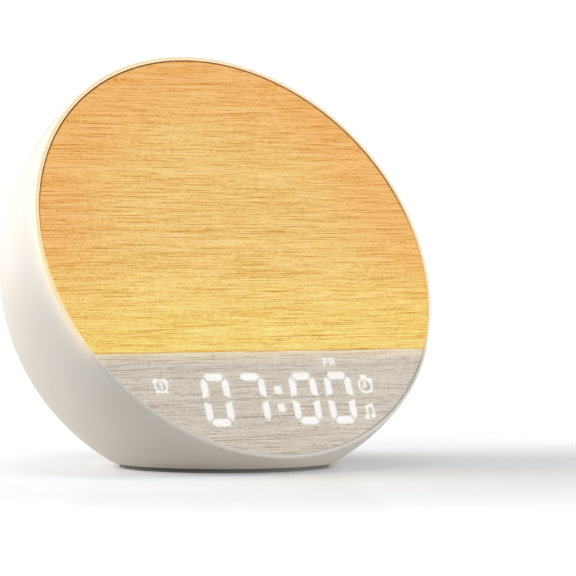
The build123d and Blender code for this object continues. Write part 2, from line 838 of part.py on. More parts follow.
def speaker_outline():
    """Square of the speaker's rim, with its corners cut off."""
    with BuildSketch(mode=Mode.PRIVATE) as square:
        Rectangle(speaker_size, speaker_size)
        chamfer(square.vertices(), length=speaker_corner)
    add(square.sketch)


with BuildPart() as speaker_grille:
    with BuildSketch(rear.offset(grille_plane)):
        Circle(grille_radius)
        for row in range(-slot_rows, slot_rows + 1):
            slot_length = 2 * on_ball(grille_field, row * slot_pitch)
            with Locations((0, row * slot_pitch)):
                SlotOverall(slot_length, slot_width, mode=Mode.SUBTRACT)
    extrude(amount=-grille_thick)
speaker_grille.part.label = "speaker_grille"
export_step(speaker_grille.part, "parts/speaker_grille.step")

with BuildPart() as speaker_gasket:
    with BuildSketch(rear.offset(speaker_face)):
        speaker_outline()
        Rectangle(2 * (seat_inner + gasket_gap), 2 * (seat_inner + gasket_gap), mode=Mode.SUBTRACT)
    extrude(amount=gasket_thick)
speaker_gasket.part.label = "speaker_gasket"
export_step(speaker_gasket.part, "parts/speaker_gasket.step")

cone_radius = seat_inner - surround_width
cone_back = speaker_face - cone_depth

with BuildPart() as speaker_frame:
    with BuildSketch(rear.offset(speaker_back)):
        speaker_outline()
        Circle(cone_radius, mode=Mode.SUBTRACT)
    extrude(amount=basket_thick)
    with BuildSketch(rear.offset(magnet_face)):
        Rectangle(basket_back, basket_back)
    extrude(amount=basket_thick)
    # four legs, splayed from the back plate to the rim
    for angle in (0, 90, 180, 270):
        with BuildSketch(spoke_plane(rear, angle)):
            with BuildLine():
                Polyline(
                    (basket_back / 2, magnet_face),
                    (speaker_size / 2 - basket_thick, speaker_back),
                    (speaker_size / 2 - 2 * basket_thick, speaker_back),
                    (basket_back / 2 - basket_thick, magnet_face + basket_thick),
                    (basket_back / 2 - basket_thick, magnet_face),
                    close=True,
                )
            make_face()
        extrude(amount=basket_leg / 2, both=True)
speaker_frame.part.label = "speaker_frame"
export_step(speaker_frame.part, "parts/speaker_frame.step")

with BuildPart() as speaker_surround:
    with BuildSketch(rear_section):
        with BuildLine():
            Polyline(
                (cone_radius, speaker_face),
                (cone_radius, speaker_face + surround_thick),
                (cone_radius + surround_width / 2, speaker_face + surround_proud),
                (seat_inner, speaker_face + surround_thick),
                (seat_inner, speaker_face),
                close=True,
            )
        make_face()
    revolve(axis=Axis(ball_centre, (0, 1, 0)))
speaker_surround.part.label = "speaker_surround"
export_step(speaker_surround.part, "parts/speaker_surround.step")

with BuildPart() as speaker_cone:
    with BuildSketch(rear_section):
        with BuildLine():
            Polyline(
                (cone_radius, speaker_face),
                (cone_radius, speaker_face + cone_thick),
                (cap_radius, cone_back + cone_thick),
                (0, cone_back + cone_thick),
                (0, cone_back),
                (cap_radius, cone_back),
                close=True,
            )
        make_face()
    revolve(axis=Axis(ball_centre, (0, 1, 0)))
speaker_cone.part.label = "speaker_cone"
export_step(speaker_cone.part, "parts/speaker_cone.step")

with BuildPart() as speaker_magnet:
    with BuildSketch(rear.offset(magnet_face)):
        Circle(magnet_radius)
    extrude(amount=-magnet_length)
speaker_magnet.part.label = "speaker_magnet"
export_step(speaker_magnet.part, "parts/speaker_magnet.step")

# ---------------------------------------------------------------- key pad
# The upper row is a round key, the wide snooze key and a round key; the lower
# row is four round keys. Right is the right hand of a person behind the clock.
key_places = {
    "alarm_one": (-1.5 * key_pitch, 0.5 * key_pitch),
    "snooze": (0, 0.5 * key_pitch),
    "alarm_two": (1.5 * key_pitch, 0.5 * key_pitch),
    "light": (-1.5 * key_pitch, -0.5 * key_pitch),
    "volume_down": (-0.5 * key_pitch, -0.5 * key_pitch),
    "volume_up": (0.5 * key_pitch, -0.5 * key_pitch),
    "sound": (1.5 * key_pitch, -0.5 * key_pitch),
}


def key_outline(key, spare):
    """Outline of a key's cap, wider by spare all round."""
    if key == "snooze":
        SlotOverall(snooze_length + 2 * spare, 2 * (key_radius + spare))
    else:
        Circle(key_radius + spare)


def key_flange_outline(key):
    """Outline of the flange that holds a key under the panel."""
    length = snooze_length if key == "snooze" else 2 * key_radius
    Rectangle(length + 2 * key_flange, 2 * (key_radius + key_flange))


with BuildPart() as control_panel:
    with BuildSketch(pad.offset(pad_under)):
        SlotOverall(pad_length, pad_width)
    extrude(amount=pad_thick)
    with BuildSketch(pad.offset(pad_under)):
        for key, place in key_places.items():
            with Locations(place):
                key_outline(key, key_gap)
    extrude(amount=pad_thick, mode=Mode.SUBTRACT)
control_panel.part.label = "control_panel"
export_step(control_panel.part, "parts/control_panel.step")

for key, place in key_places.items():
    with BuildPart() as key_cap:
        with BuildSketch(pad.offset(key_flange_top)):
            with Locations(place):
                key_outline(key, 0)
        extrude(amount=pad_plane + key_proud - key_flange_top)
        rim = key_cap.faces().sort_by(Axis(ball_centre, pad_normal))[-1].edges()
        chamfer(rim, length=key_chamfer)
        with BuildSketch(pad.offset(key_flange_bottom)):
            with Locations(place):
                key_flange_outline(key)
        extrude(amount=key_flange_thick)
        with BuildSketch(pad.offset(stem_end)):
            with Locations(place):
                Rectangle(stem_size, stem_size)
        extrude(amount=stem_length)
    key_cap.part.label = f"key_{key}"
    export_step(key_cap.part, f"parts/key_{key}.step")

    with BuildPart() as plunger:
        with BuildSketch(pad.offset(switch_top - plunger_sunk)):
            with Locations(place):
                Rectangle(plunger_size, plunger_size)
        extrude(amount=plunger_sunk + plunger_show)
    plunger.part.label = f"plunger_{key}"
    export_step(plunger.part, f"parts/plunger_{key}.step")

with BuildPart() as key_switches:
    with BuildSketch(pad.offset(key_board_top)):
        with Locations(*key_places.values()):
            Rectangle(switch_size, switch_size)
    extrude(amount=switch_height)
    with BuildSketch(pad.offset(switch_top)):
        with Locations(*key_places.values()):
            Rectangle(plunger_size + 2 * plunger_gap, plunger_size + 2 * plunger_gap)
    extrude(amount=-(plunger_sunk + key_travel + switch_spare), mode=Mode.SUBTRACT)
key_switches.part.label = "key_switches"
export_step(key_switches.part, "parts/key_switches.step")

with BuildPart() as key_board:
    with BuildSketch(pad.offset(key_board_back)):
        Rectangle(pad_length, key_board_width)
    extrude(amount=key_board_thick)
key_board.part.label = "key_board"
export_step(key_board.part, "parts/key_board.step")

# ---------------------------------------------------------------- main board and sockets
with BuildPart() as main_board:
    with BuildSketch(Plane.XY.offset(board_low)):
        with Locations((0, (board_front + board_back) / 2)):
            Rectangle(board_width, board_depth)
        Circle(board_trim, mode=Mode.INTERSECT)
    extrude(amount=board_thick)
main_board.part.label = "main_board"
export_step(main_board.part, "parts/main_board.step")

# sizes of the parts on the board, and their places: off its middle line and before the jack
board_chips = {
    "processor": ((10.0, 10.0, 1.6), (2.0, 11.6)),
    "amplifier": ((5.0, 6.0, 1.6), (16.0, 5.6)),
    "lamp_driver": ((5.0, 6.0, 1.6), (-16.0, 17.6)),
    "coil": ((7.0, 7.0, 4.0), (-16.0, 7.6)),
    "crystal": ((8.0, 3.6, 3.4), (2.0, 1.6)),
}

with BuildPart() as main_chips:
    for size, place in board_chips.values():
        with BuildSketch(Plane.XY.offset(board_top)):
            with Locations((place[0], jack_front - place[1])):
                Rectangle(size[0], size[1])
        extrude(amount=size[2])
main_chips.part.label = "main_chips"
export_step(main_chips.part, "parts/main_chips.step")

with BuildPart() as dc_jack:
    with BuildSketch(Plane.XZ.offset(-jack_front)):
        with Locations((jack_x, jack_level)):
            Rectangle(jack_width, jack_height)
    extrude(amount=-(jack_length - board_gap))
    with BuildSketch(Plane.XZ.offset(-(recess_inside - board_gap))):
        with Locations((jack_x, jack_level)):
            Circle(jack_nose_radius)
    extrude(amount=-(socket_face - recess_inside + board_gap))
    with BuildSketch(Plane.XZ.offset(-socket_face)):
        with Locations((jack_x, jack_level)):
            Circle(jack_bore_radius)
    extrude(amount=jack_bore_depth, mode=Mode.SUBTRACT)
dc_jack.part.label = "dc_jack"
export_step(dc_jack.part, "parts/dc_jack.step")

with BuildPart() as dc_pin:
    with BuildSketch(Plane.XZ.offset(-(socket_face - jack_pin_short))):
        with Locations((jack_x, jack_level)):
            Circle(jack_pin_radius)
    extrude(amount=jack_bore_depth - jack_pin_short)
dc_pin.part.label = "dc_pin"
export_step(dc_pin.part, "parts/dc_pin.step")

with BuildPart() as usb_shell:
    with BuildSketch(Plane.XZ.offset(-socket_face)):
        with Locations((usb_x, usb_level)):
            Rectangle(usb_width, usb_height)
    extrude(amount=usb_length)
    with BuildSketch(Plane.XZ.offset(-socket_face)):
        with Locations((usb_x, usb_level)):
            Rectangle(usb_width - 2 * usb_skin, usb_height - 2 * usb_skin)
    extrude(amount=usb_length - usb_skin, mode=Mode.SUBTRACT)
usb_shell.part.label = "usb_shell"
export_step(usb_shell.part, "parts/usb_shell.step")

with BuildPart() as usb_tongue:
    with BuildSketch(Plane.XZ.offset(-(socket_face - usb_length + usb_skin))):
        with Locations((usb_x, usb_level + usb_height / 2 - usb_skin - tongue_drop - tongue_thick / 2)):
            Rectangle(tongue_width, tongue_thick)
    extrude(amount=-tongue_length)
usb_tongue.part.label = "usb_tongue"
export_step(usb_tongue.part, "parts/usb_tongue.step")

# ---------------------------------------------------------------- flat leads
# Each leaves its own board straight, bends down behind it in an upright plane
# and stands on the main board.


def lead_route(base, up, out, reach, back):
    """Y and Z along a lead: it leaves a plane's point and lands behind the board's front edge."""
    start = base.origin + base.y_dir * up + base.z_dir * out
    turn = start + base.z_dir * reach
    landing = board_front + back
    return [(start.Y, start.Z), (turn.Y, turn.Z), (landing, board_top + lead_lift), (landing, board_top)]


speaker_under = Plane(origin=ball_centre, x_dir=(1, 0, 0), z_dir=(0, 0, -1))
lamp_reach = tray_floor - lead_reach - led_board_back
display_lead_level = digit_centre_y + display_lead_rise
speaker_lead_y = speaker_lead_sink - magnet_face
lead_routes = {
    "lamp_lead": (lead_route(bowl, 0, led_board_back, lamp_reach, lamp_lead_back), 0, lamp_lead_width),
    "display_lead": (
        lead_route(bowl, display_lead_level, display_board_back, -lead_reach, display_lead_back),
        display_lead_x,
        display_lead_width,
    ),
    "pad_lead": (
        lead_route(pad, 0, key_board_back, -lead_reach, pad_lead_back),
        pad_lead_x,
        pad_lead_width,
    ),
    "speaker_lead": (
        lead_route(speaker_under, speaker_lead_y, magnet_radius, lead_reach, speaker_lead_back),
        0,
        speaker_lead_width,
    ),
}

for lead, (route, across, width) in lead_routes.items():
    with BuildPart() as flat_lead:
        with BuildSketch(Plane.YZ.offset(across)):
            with BuildLine():
                FilletPolyline(*route, radius=lead_bend)
            trace(line_width=lead_thick)
        extrude(amount=width / 2, both=True)
    flat_lead.part.label = lead
    export_step(flat_lead.part, f"parts/{lead}.step")
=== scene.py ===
import math

import bmesh
import bpy
import numpy as np
from mathutils import Matrix, Vector
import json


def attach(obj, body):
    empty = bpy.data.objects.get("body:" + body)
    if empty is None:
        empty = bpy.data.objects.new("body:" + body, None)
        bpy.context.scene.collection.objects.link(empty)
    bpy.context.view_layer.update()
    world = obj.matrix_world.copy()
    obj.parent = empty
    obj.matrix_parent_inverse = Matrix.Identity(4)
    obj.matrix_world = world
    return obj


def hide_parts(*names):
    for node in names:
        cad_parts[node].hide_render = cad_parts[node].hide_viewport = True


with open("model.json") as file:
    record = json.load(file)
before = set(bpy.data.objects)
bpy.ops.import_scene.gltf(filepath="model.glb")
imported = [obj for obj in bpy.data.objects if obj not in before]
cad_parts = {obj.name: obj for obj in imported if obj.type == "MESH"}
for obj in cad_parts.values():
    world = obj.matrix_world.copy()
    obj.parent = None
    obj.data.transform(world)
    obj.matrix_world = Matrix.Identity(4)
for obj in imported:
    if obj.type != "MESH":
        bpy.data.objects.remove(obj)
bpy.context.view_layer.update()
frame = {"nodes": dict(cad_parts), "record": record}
nodes = frame["nodes"]

# ---------------------------------------------------------------- sizes, in millimetres
MM = 0.001               # metres in a millimetre
BALL = 90.0              # ball's radius
CENTRE_Z = 80.0          # ball's centre above the table
TILT = 26.5              # face leans back, degrees
CREST = 13.0             # lip's crest before the ball's centre
PAD_RISE = 40.0          # key pad looks up, degrees

# levels before the ball's centre, and radii about the face's axis
LIP_INNER = 87.6
LIP_ROUND = 1.1          # rounding of the lip's crest on the outside
LIP_ROUND_INNER = 0.35   # and on the inside
LEDGE = 9.9              # level of the ledge that the face panel rests on
LEDGE_INNER = 85.6       # and its inner radius
JOIN = 8.5               # fine lip before this level, CAD housing behind it
CLOTH = 87.57            # radius of the cloth, which ends just inside the lip
CLOTH_ROUND = 0.12       # rounding of the cloth's edge
FABRIC_BACK = 11.9       # level of the cloth's back
FABRIC_FRONT = 12.4      # and of its front

# display, in the face's own x and y
LIGHT_EDGE = -43.3       # lower edge of the lit field
DIGITS_X = 1.55          # middle of the row of digits
DIGITS_Y = -63.75
DIGIT_PITCH = 16.57      # from digit to digit in a pair
PAIR_PITCH = 23.7        # between the digits on both sides of the colon
SLANT = 0.064            # lean of the digits, x over y
ROW_FALL = 0.009         # how much the row of digits falls to the right
COLON = 3.3              # side of a colon block
COLON_SPREAD = 7.75      # from one colon block to the other

# weave
THREAD = 0.475           # pitch of the threads that run across
WARP = 1.037             # pitch of the threads that cross them
RIBS, WIDE_RIBS = 1.2, 1.63     # periods of its ribs

CENTRE = Vector((0, 0, CENTRE_Z * MM))


def plane(x_dir, z_dir):
    """Frame on the ball's centre with these x and z directions."""
    x, z = Vector(x_dir), Vector(z_dir)
    turned = Matrix((x, z.cross(x), z)).transposed().to_4x4()
    turned.translation = CENTRE
    return turned


def up(degrees):
    """Unit vector towards +Y, raised by an angle."""
    return Vector((0, math.cos(math.radians(degrees)), math.sin(math.radians(degrees))))


FORWARD = Vector((0, -math.cos(math.radians(TILT)), math.sin(math.radians(TILT))))
FACE = plane((1, 0, 0), FORWARD)
PAD = plane((-1, 0, 0), up(PAD_RISE))


def linear(red, green, blue):
    """Linear colour of an 8-bit display colour."""
    shares = [c / 255 for c in (red, green, blue)]
    return (*(s / 12.92 if s <= 0.04045 else ((s + 0.055) / 1.055) ** 2.4 for s in shares), 1.0)


# ---------------------------------------------------------------- material graphs
WHITE = (1, 1, 1, 1)


class Graph:
    """A material's nodes. A value is a socket to link or a constant for the input itself."""

    def __init__(self, name):
        self.material = bpy.data.materials.new(name)
        self.material.use_nodes = True
        self.tree = self.material.node_tree
        self.tree.nodes.clear()

    def add(self, kind, *values, **settings):
        """A node of this kind, with values for its first inputs and settings by name."""
        node = self.tree.nodes.new(kind)
        for key, value in settings.items():
            setattr(node, key, value)
        for place, value in enumerate(values):
            self.put(node.inputs[place], value)
        return node

    def put(self, socket, value):
        """Link or set an input; None leaves it alone."""
        if value is None:
            return
        if isinstance(value, bpy.types.NodeSocket):
            self.tree.links.new(value, socket)
        else:
            socket.default_value = value

    def math(self, operation, *values, clamp=False):
        node = self.add("ShaderNodeMath", *values, operation=operation, use_clamp=clamp)
        return node.outputs[0]

    def grey(self, value):
        """A grey colour of this value."""
        return self.add("ShaderNodeCombineColor", value, value, value).outputs[0]

    def distance(self, x, y):
        """Distance from the axis x = y = 0."""
        return self.math("SQRT", self.math("ADD", self.math("MULTIPLY", x, x), self.math("MULTIPLY", y, y)))

    def attribute(self, name):
        return self.add("ShaderNodeAttribute", attribute_name=name).outputs["Fac"]

    def vector(self, x, y, z):
        return self.add("ShaderNodeCombineXYZ", x, y, z).outputs[0]

    def dot(self, a, b):
        return self.add("ShaderNodeVectorMath", a, b, operation="DOT_PRODUCT").outputs["Value"]

    def position(self):
        """Object coordinates in millimetres: the vector and its three parts."""
        coordinates = self.add("ShaderNodeTexCoord").outputs["Object"]
        scaled = self.add("ShaderNodeVectorMath", coordinates, operation="SCALE")
        scaled.inputs["Scale"].default_value = 1 / MM
        parts = self.add("ShaderNodeSeparateXYZ", scaled.outputs[0])
        return (scaled.outputs[0], *parts.outputs)

    def noise(self, vector, scale=1.0, detail=2.0, rough=0.5):
        node = self.add("ShaderNodeTexNoise")
        self.put(node.inputs["Vector"], vector)
        node.inputs["Scale"].default_value = scale
        node.inputs["Detail"].default_value = detail
        node.inputs["Roughness"].default_value = rough
        return node.outputs[0]

    def chance(self, value):
        """A random number from 0 to 1 that stays the same for the same value."""
        node = self.add("ShaderNodeTexWhiteNoise", noise_dimensions="1D")
        self.put(node.inputs["W"], value)
        return node.outputs["Value"]

    def span(self, value, low, high, to_low=0.0, to_high=1.0):
        """Smooth step from one range to another."""
        node = self.add("ShaderNodeMapRange", interpolation_type="SMOOTHSTEP")
        for name, item in (("Value", value), ("From Min", low), ("From Max", high),
                           ("To Min", to_low), ("To Max", to_high)):
            self.put(node.inputs[name], item)
        return node.outputs[0]

    def mix(self, share, a, b, blend="MIX"):
        """Colour a, turned into colour b by this share."""
        node = self.add("ShaderNodeMix", data_type="RGBA", blend_type=blend)
        self.put(node.inputs[0], share)
        self.put(node.inputs[6], a)
        self.put(node.inputs[7], b)
        return node.outputs[2]

    def bump(self, height, distance, strength=1.0):
        node = self.add("ShaderNodeBump")
        node.inputs["Strength"].default_value = strength
        node.inputs["Distance"].default_value = distance
        self.put(node.inputs["Height"], height)
        return node.outputs[0]

    def surface(self, color, roughness, **inputs):
        """The shader itself; names are those of its inputs, with _ for a space."""
        shader = self.add("ShaderNodeBsdfPrincipled")
        self.put(shader.inputs["Base Color"], color)
        self.put(shader.inputs["Roughness"], roughness)
        for name, value in inputs.items():
            self.put(shader.inputs[name.replace("_", " ")], value)
        self.add("ShaderNodeOutputMaterial", shader.outputs[0])
        return self.material


def moulded(name, color, rough=0.5, spread=0.06, grain=2.2, depth=0.012, metal=0.0, **inputs):
    """Moulded or cast stuff: fine grain, and a slight drift of colour and gloss."""
    g = Graph(name)
    spot = g.position()[0]
    fine = g.noise(spot, grain, 3.0, 0.6)
    wide = g.noise(spot, 0.045, 2.0)
    shade = g.grey(g.span(wide, 0.3, 0.7, 1 - spread, 1.0))
    base = g.mix(1.0, linear(*color), shade, "MULTIPLY")
    gloss = g.span(fine, 0.3, 0.7, rough - 0.05, rough + 0.05)
    return g.surface(base, gloss, Metallic=metal, Normal=g.bump(fine, depth * MM, 0.6), **inputs)


# ---------------------------------------------------------------- mesh helpers
def piece(name, points, faces, material, stands_for, matrix=None, body="root", sharp=30):
    """A mesh piece, in place, riding on a body. It has this material and replaces these CAD nodes."""
    mesh = bpy.data.meshes.new(name)
    mesh.from_pydata([tuple(p) for p in points], [], faces)
    mesh.update()
    mesh.shade_smooth()
    mesh.set_sharp_from_angle(angle=math.radians(sharp))
    made = bpy.data.objects.new(name, mesh)
    bpy.context.scene.collection.objects.link(made)
    if matrix is not None:
        made.matrix_world = matrix
    mesh.materials.append(material)
    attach(made, body)
    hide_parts(*stands_for)
    return made


def put_attribute(made, name, values):
    """A number on each vertex, which a material can read."""
    attribute = made.data.attributes.new(name, "FLOAT", "POINT")
    attribute.data.foreach_set("value", values.astype(np.float32))


def tube_faces(rings, steps):
    """Faces between each ring of points and the next one."""
    return [
        (ring * steps + step, ring * steps + (step + 1) % steps,
         (ring + 1) * steps + (step + 1) % steps, (ring + 1) * steps + step)
        for ring in range(rings - 1) for step in range(steps)]


def lathe(profile, steps):
    """Points and faces of a closed profile of (radius, level), turned about z."""
    turn = np.linspace(0, 2 * math.pi, steps, endpoint=False)
    rings = np.array(profile)
    points = np.stack([
        rings[:, None, 0] * np.cos(turn), rings[:, None, 0] * np.sin(turn),
        np.repeat(rings[:, 1:2], steps, axis=1)], axis=2).reshape(-1, 3) * MM
    count = len(profile)
    faces = [
        (ring * steps + step, ring * steps + (step + 1) % steps,
         (ring + 1) % count * steps + (step + 1) % steps, (ring + 1) % count * steps + step)
        for ring in range(count) for step in range(steps)]
    return points, faces


# ---------------------------------------------------------------- shell
GLOW_DEPTH = 3.6         # painted glow of lamp light in the plastic, which falls off over this depth behind the crest
GLOW_BLUR = 8.0          # and over this height at the lit field's lower edge
GLOW_POWER = 0.34        # its emission where it is strongest
LIP_STEPS = 512          # steps round the lip
SKIN_ERROR = 3e-5        # a CAD vertex this near to the ball lies on it, in metres
SKIN_FACING = 0.99       # and a face on it looks outwards at least so well, as a cosine


def shell_material():
    """Warm white plastic with painted lamp light in the lip round the lit field: a cream base colour in the
    crest, and a painted glow.
    """
    g = Graph("shell_plastic")
    spot, _, _, _ = g.position()
    centred = g.add("ShaderNodeVectorMath", spot, (0, 0, CENTRE_Z), operation="SUBTRACT").outputs[0]
    level = g.dot(centred, tuple(FORWARD))
    height = g.dot(centred, (0, FORWARD.z, -FORWARD.y))
    fine = g.noise(spot, 2.6, 3.0, 0.6)
    wide = g.noise(spot, 0.03, 2.0)
    base = g.mix(g.span(wide, 0.35, 0.65), linear(240, 235, 228), linear(243, 239, 233))
    # painted lamp light: the base colour turns cream in the thin crest beside the lit field
    lit = g.span(height, LIGHT_EDGE - GLOW_BLUR, LIGHT_EDGE + GLOW_BLUR)
    crest = g.math("MULTIPLY", g.span(level, CREST - 3.0, CREST - 0.6), lit)
    base = g.mix(crest, base, linear(254, 234, 200))
    # painted glow: emission behind the crest, beside the lit field
    depth = g.math("SUBTRACT", CREST - 0.5, level)
    near = g.math("POWER", math.e, g.math("DIVIDE", g.math("MAXIMUM", depth, 0.0), -GLOW_DEPTH))
    glow = g.math("MULTIPLY", near, lit, clamp=True)
    tone = g.mix(glow, linear(255, 241, 214), linear(255, 235, 192))
    power = g.math("MULTIPLY", glow, GLOW_POWER)
    gloss = g.span(fine, 0.3, 0.7, 0.42, 0.5)
    return g.surface(base, gloss, Normal=g.bump(fine, 0.006 * MM, 0.5), Specular_IOR_Level=0.45,
                     Emission_Color=tone, Emission_Strength=power)


def lip_profile():
    """Section of the front of the housing: ball, rounded crest, inner wall and ledge."""
    centre_level = CREST - LIP_ROUND
    centre_radius = math.sqrt((BALL - LIP_ROUND) ** 2 - centre_level ** 2)
    meet = math.atan2(centre_level, centre_radius)
    start = math.asin(JOIN / BALL)
    outside = [(BALL * math.cos(a), BALL * math.sin(a)) for a in np.linspace(start, meet, 14)]
    near_start = start + 0.001
    outside.insert(1, (BALL * math.cos(near_start), BALL * math.sin(near_start)))
    crest = [
        (centre_radius + LIP_ROUND * math.cos(a), centre_level + LIP_ROUND * math.sin(a))
        for a in np.linspace(meet, math.pi / 2, 9)[1:]]
    inner = [
        (LIP_INNER + LIP_ROUND_INNER * (1 - math.cos(a)),
         CREST - LIP_ROUND_INNER * (1 - math.sin(a)))
        for a in np.linspace(math.pi / 2, 0, 6)]
    ledge = [(LIP_INNER, LEDGE), (LEDGE_INNER, LEDGE), (LEDGE_INNER, JOIN)]
    return outside + crest + inner + ledge


def build_shell(material):
    """The CAD housing behind the join level, with its ball made smoother, and a fine lip before it."""
    work = bmesh.new()
    work.from_mesh(nodes["housing_shell"].data)
    bmesh.ops.remove_doubles(work, verts=work.verts, dist=1e-6)
    cut = bmesh.ops.bisect_plane(
        work, geom=work.verts[:] + work.edges[:] + work.faces[:], dist=1e-7,
        plane_co=CENTRE + FORWARD * JOIN * MM, plane_no=FORWARD, clear_outer=True)
    rims = [e for e in cut["geom_cut"] if isinstance(e, bmesh.types.BMEdge)]
    bmesh.ops.bridge_loops(work, edges=rims)
    bmesh.ops.triangulate(work, faces=work.faces[:])

    def on_skin(face):
        if any(abs((v.co - CENTRE).length - BALL * MM) > SKIN_ERROR for v in face.verts):
            return False
        outwards = (face.calc_center_median() - CENTRE).normalized()
        return face.normal.dot(outwards) > SKIN_FACING

    work.normal_update()
    skin = [f for f in work.faces if on_skin(f)]
    edges = {e for f in skin for e in f.edges if all(on_skin(n) for n in e.link_faces)}
    made = bmesh.ops.subdivide_edges(work, edges=list(edges), cuts=1, use_grid_fill=True)
    for item in made["geom_inner"]:
        if isinstance(item, bmesh.types.BMVert):
            item.co = CENTRE + (item.co - CENTRE).normalized() * BALL * MM
    bmesh.ops.triangulate(work, faces=[f for f in work.faces if len(f.verts) > 3])
    mesh = bpy.data.meshes.new("housing")
    work.to_mesh(mesh)
    work.free()
    back_points = np.array([v.co for v in mesh.vertices])
    back_faces = [tuple(p.vertices) for p in mesh.polygons]
    ring, ring_faces = lathe(lip_profile(), LIP_STEPS)
    turned = np.array(FACE)
    ring = ring @ turned[:3, :3].T + turned[:3, 3]
    start = len(back_points)
    points = np.concatenate([back_points, ring])
    faces = back_faces + [tuple(start + i for i in reversed(f)) for f in ring_faces]
    shell = piece("housing", points, faces, material, ["housing_shell"], sharp=12)
    # exact normals on the ball, so that no facet shows
    data = shell.data
    normals = np.array([c.vector for c in data.corner_normals])
    spots = np.array([v.co for v in data.vertices])
    out = spots - np.array(CENTRE)
    far = np.linalg.norm(out, axis=1)
    out = out / far[:, None]
    for face in data.polygons:
        ids = list(face.vertices)
        on_ball = (np.abs(far[ids] - BALL * MM) < SKIN_ERROR).all()
        if on_ball and out[ids].mean(0) @ np.array(face.normal) > SKIN_FACING:
            normals[list(face.loop_indices)] = out[ids]
    data.normals_split_custom_set([tuple(n) for n in normals])


# ---------------------------------------------------------------- marks of the display
def leaned(x, y):
    """Place before the display's lean and fall, for a point on the face."""
    return x - (y - DIGITS_Y) * SLANT, y + (x - DIGITS_X) * ROW_FALL


def convex(x, y, corners):
    """Distance to a convex shape with these corners, named clockwise."""
    sides = []
    for (ax, ay), (bx, by) in zip(corners, corners[1:] + corners[:1]):
        length = math.hypot(bx - ax, by - ay)
        sides.append(((by - ay) * (ax - x) - (bx - ax) * (ay - y)) / length)
    return np.max(sides, axis=0)


# a digit's upper bar, and its upper left bar, about the digit's middle; the others mirror them
LEVEL_BAR = [(-4.4, 9.7), (-3.2, 11.2), (3.2, 11.2), (4.4, 9.7), (2.9, 8.0), (-2.9, 8.0)]
UPRIGHT_BAR = [(-6.3, 0.72), (-6.25, 7.7), (-5.0, 9.15), (-3.25, 7.3), (-3.3, 1.85)]


def block(x, y, wide, high):
    """Distance to a rectangle about the origin."""
    return np.maximum(np.abs(x) - wide / 2, np.abs(y) - high / 2)


def stroke(x, y, start, end, thick):
    """Distance to a straight stroke with round ends."""
    ax, ay = x - start[0], y - start[1]
    bx, by = end[0] - start[0], end[1] - start[1]
    share = np.clip((ax * bx + ay * by) / (bx * bx + by * by), 0, 1)
    return np.hypot(ax - share * bx, ay - share * by) - thick / 2


def ring_line(x, y, radius, thick):
    """Distance to a ring about the origin."""
    return np.abs(np.hypot(x, y) - radius) - thick / 2


def polyline(x, y, points, thick):
    """Distance to straight strokes from point to point."""
    return np.min([stroke(x, y, a, b, thick) for a, b in zip(points, points[1:])], axis=0)


def lamp_clock(x, y, number=1):
    """Alarm clock with two bells and two feet, and a number on its dial."""
    parts = [ring_line(x, y, 2.6, 0.8)]
    for side in (-1, 1):
        parts.append(stroke(x, y, (side * 2.8, 1.75), (side * 1.75, 2.7), 1.35))
        parts.append(stroke(x, y, (side * 1.75, -2.2), (side * 2.35, -3.0), 0.85))
    line = [(-0.65, 0.75), (0.15, 1.35), (0.15, -1.45)]
    if number == 2:
        line = [(-0.8, 0.7), (-0.35, 1.3), (0.4, 1.3), (0.8, 0.75), (-0.8, -1.25), (0.85, -1.25)]
    return np.min(parts + [polyline(x, y, line, 0.8)], axis=0)


def timer_mark(x, y):
    """Stopwatch: ring with a button on top and one at its shoulder, and two hands."""
    parts = [ring_line(x, y + 0.75, 2.95, 0.95), block(x, y - 3.1, 2.9, 1.9)]
    parts.append(stroke(x, y, (2.55, 1.7), (2.85, 1.3), 1.9))
    parts.append(stroke(x, y, (0, -1.15), (0, 0.8), 0.85))
    parts.append(stroke(x, y, (0, -1.15), (-1.25, -1.15), 0.85))
    return np.min(parts, axis=0)


def music_note(x, y):
    """Two joined quavers."""
    parts = [
        stroke(x, y, (-1.15, -2.2), (-1.15, 2.3), 0.75), stroke(x, y, (1.75, -1.7), (1.75, 2.9), 0.75),
        stroke(x, y, (-1.15, 2.2), (1.75, 2.8), 1.3)]
    for cx, cy in ((-1.85, -2.3), (1.05, -1.8)):
        parts.append((np.hypot((x - cx) * 0.85, y - cy) - 1.0))
    return np.min(parts, axis=0)


def day_letters(x, y):
    """The letters FR: seven strokes and half a ring."""
    parts = [
        stroke(x, y, (-2.3, -1.3), (-2.3, 1.3), 0.7), stroke(x, y, (-2.3, 1.3), (-0.75, 1.3), 0.58),
        stroke(x, y, (-2.3, 0.0), (-0.95, 0.0), 0.54), stroke(x, y, (0.4, -1.3), (0.4, 1.3), 0.7),
        stroke(x, y, (0.4, 1.3), (1.45, 1.3), 0.58), stroke(x, y, (0.4, -0.15), (1.45, -0.15), 0.54),
        stroke(x, y, (1.25, -0.2), (2.2, -1.35), 0.66)]
    bow = np.where(x > 1.35, ring_line(x - 1.4, y - 0.575, 0.725, 0.58), 9.0)
    return np.min(parts + [bow], axis=0)


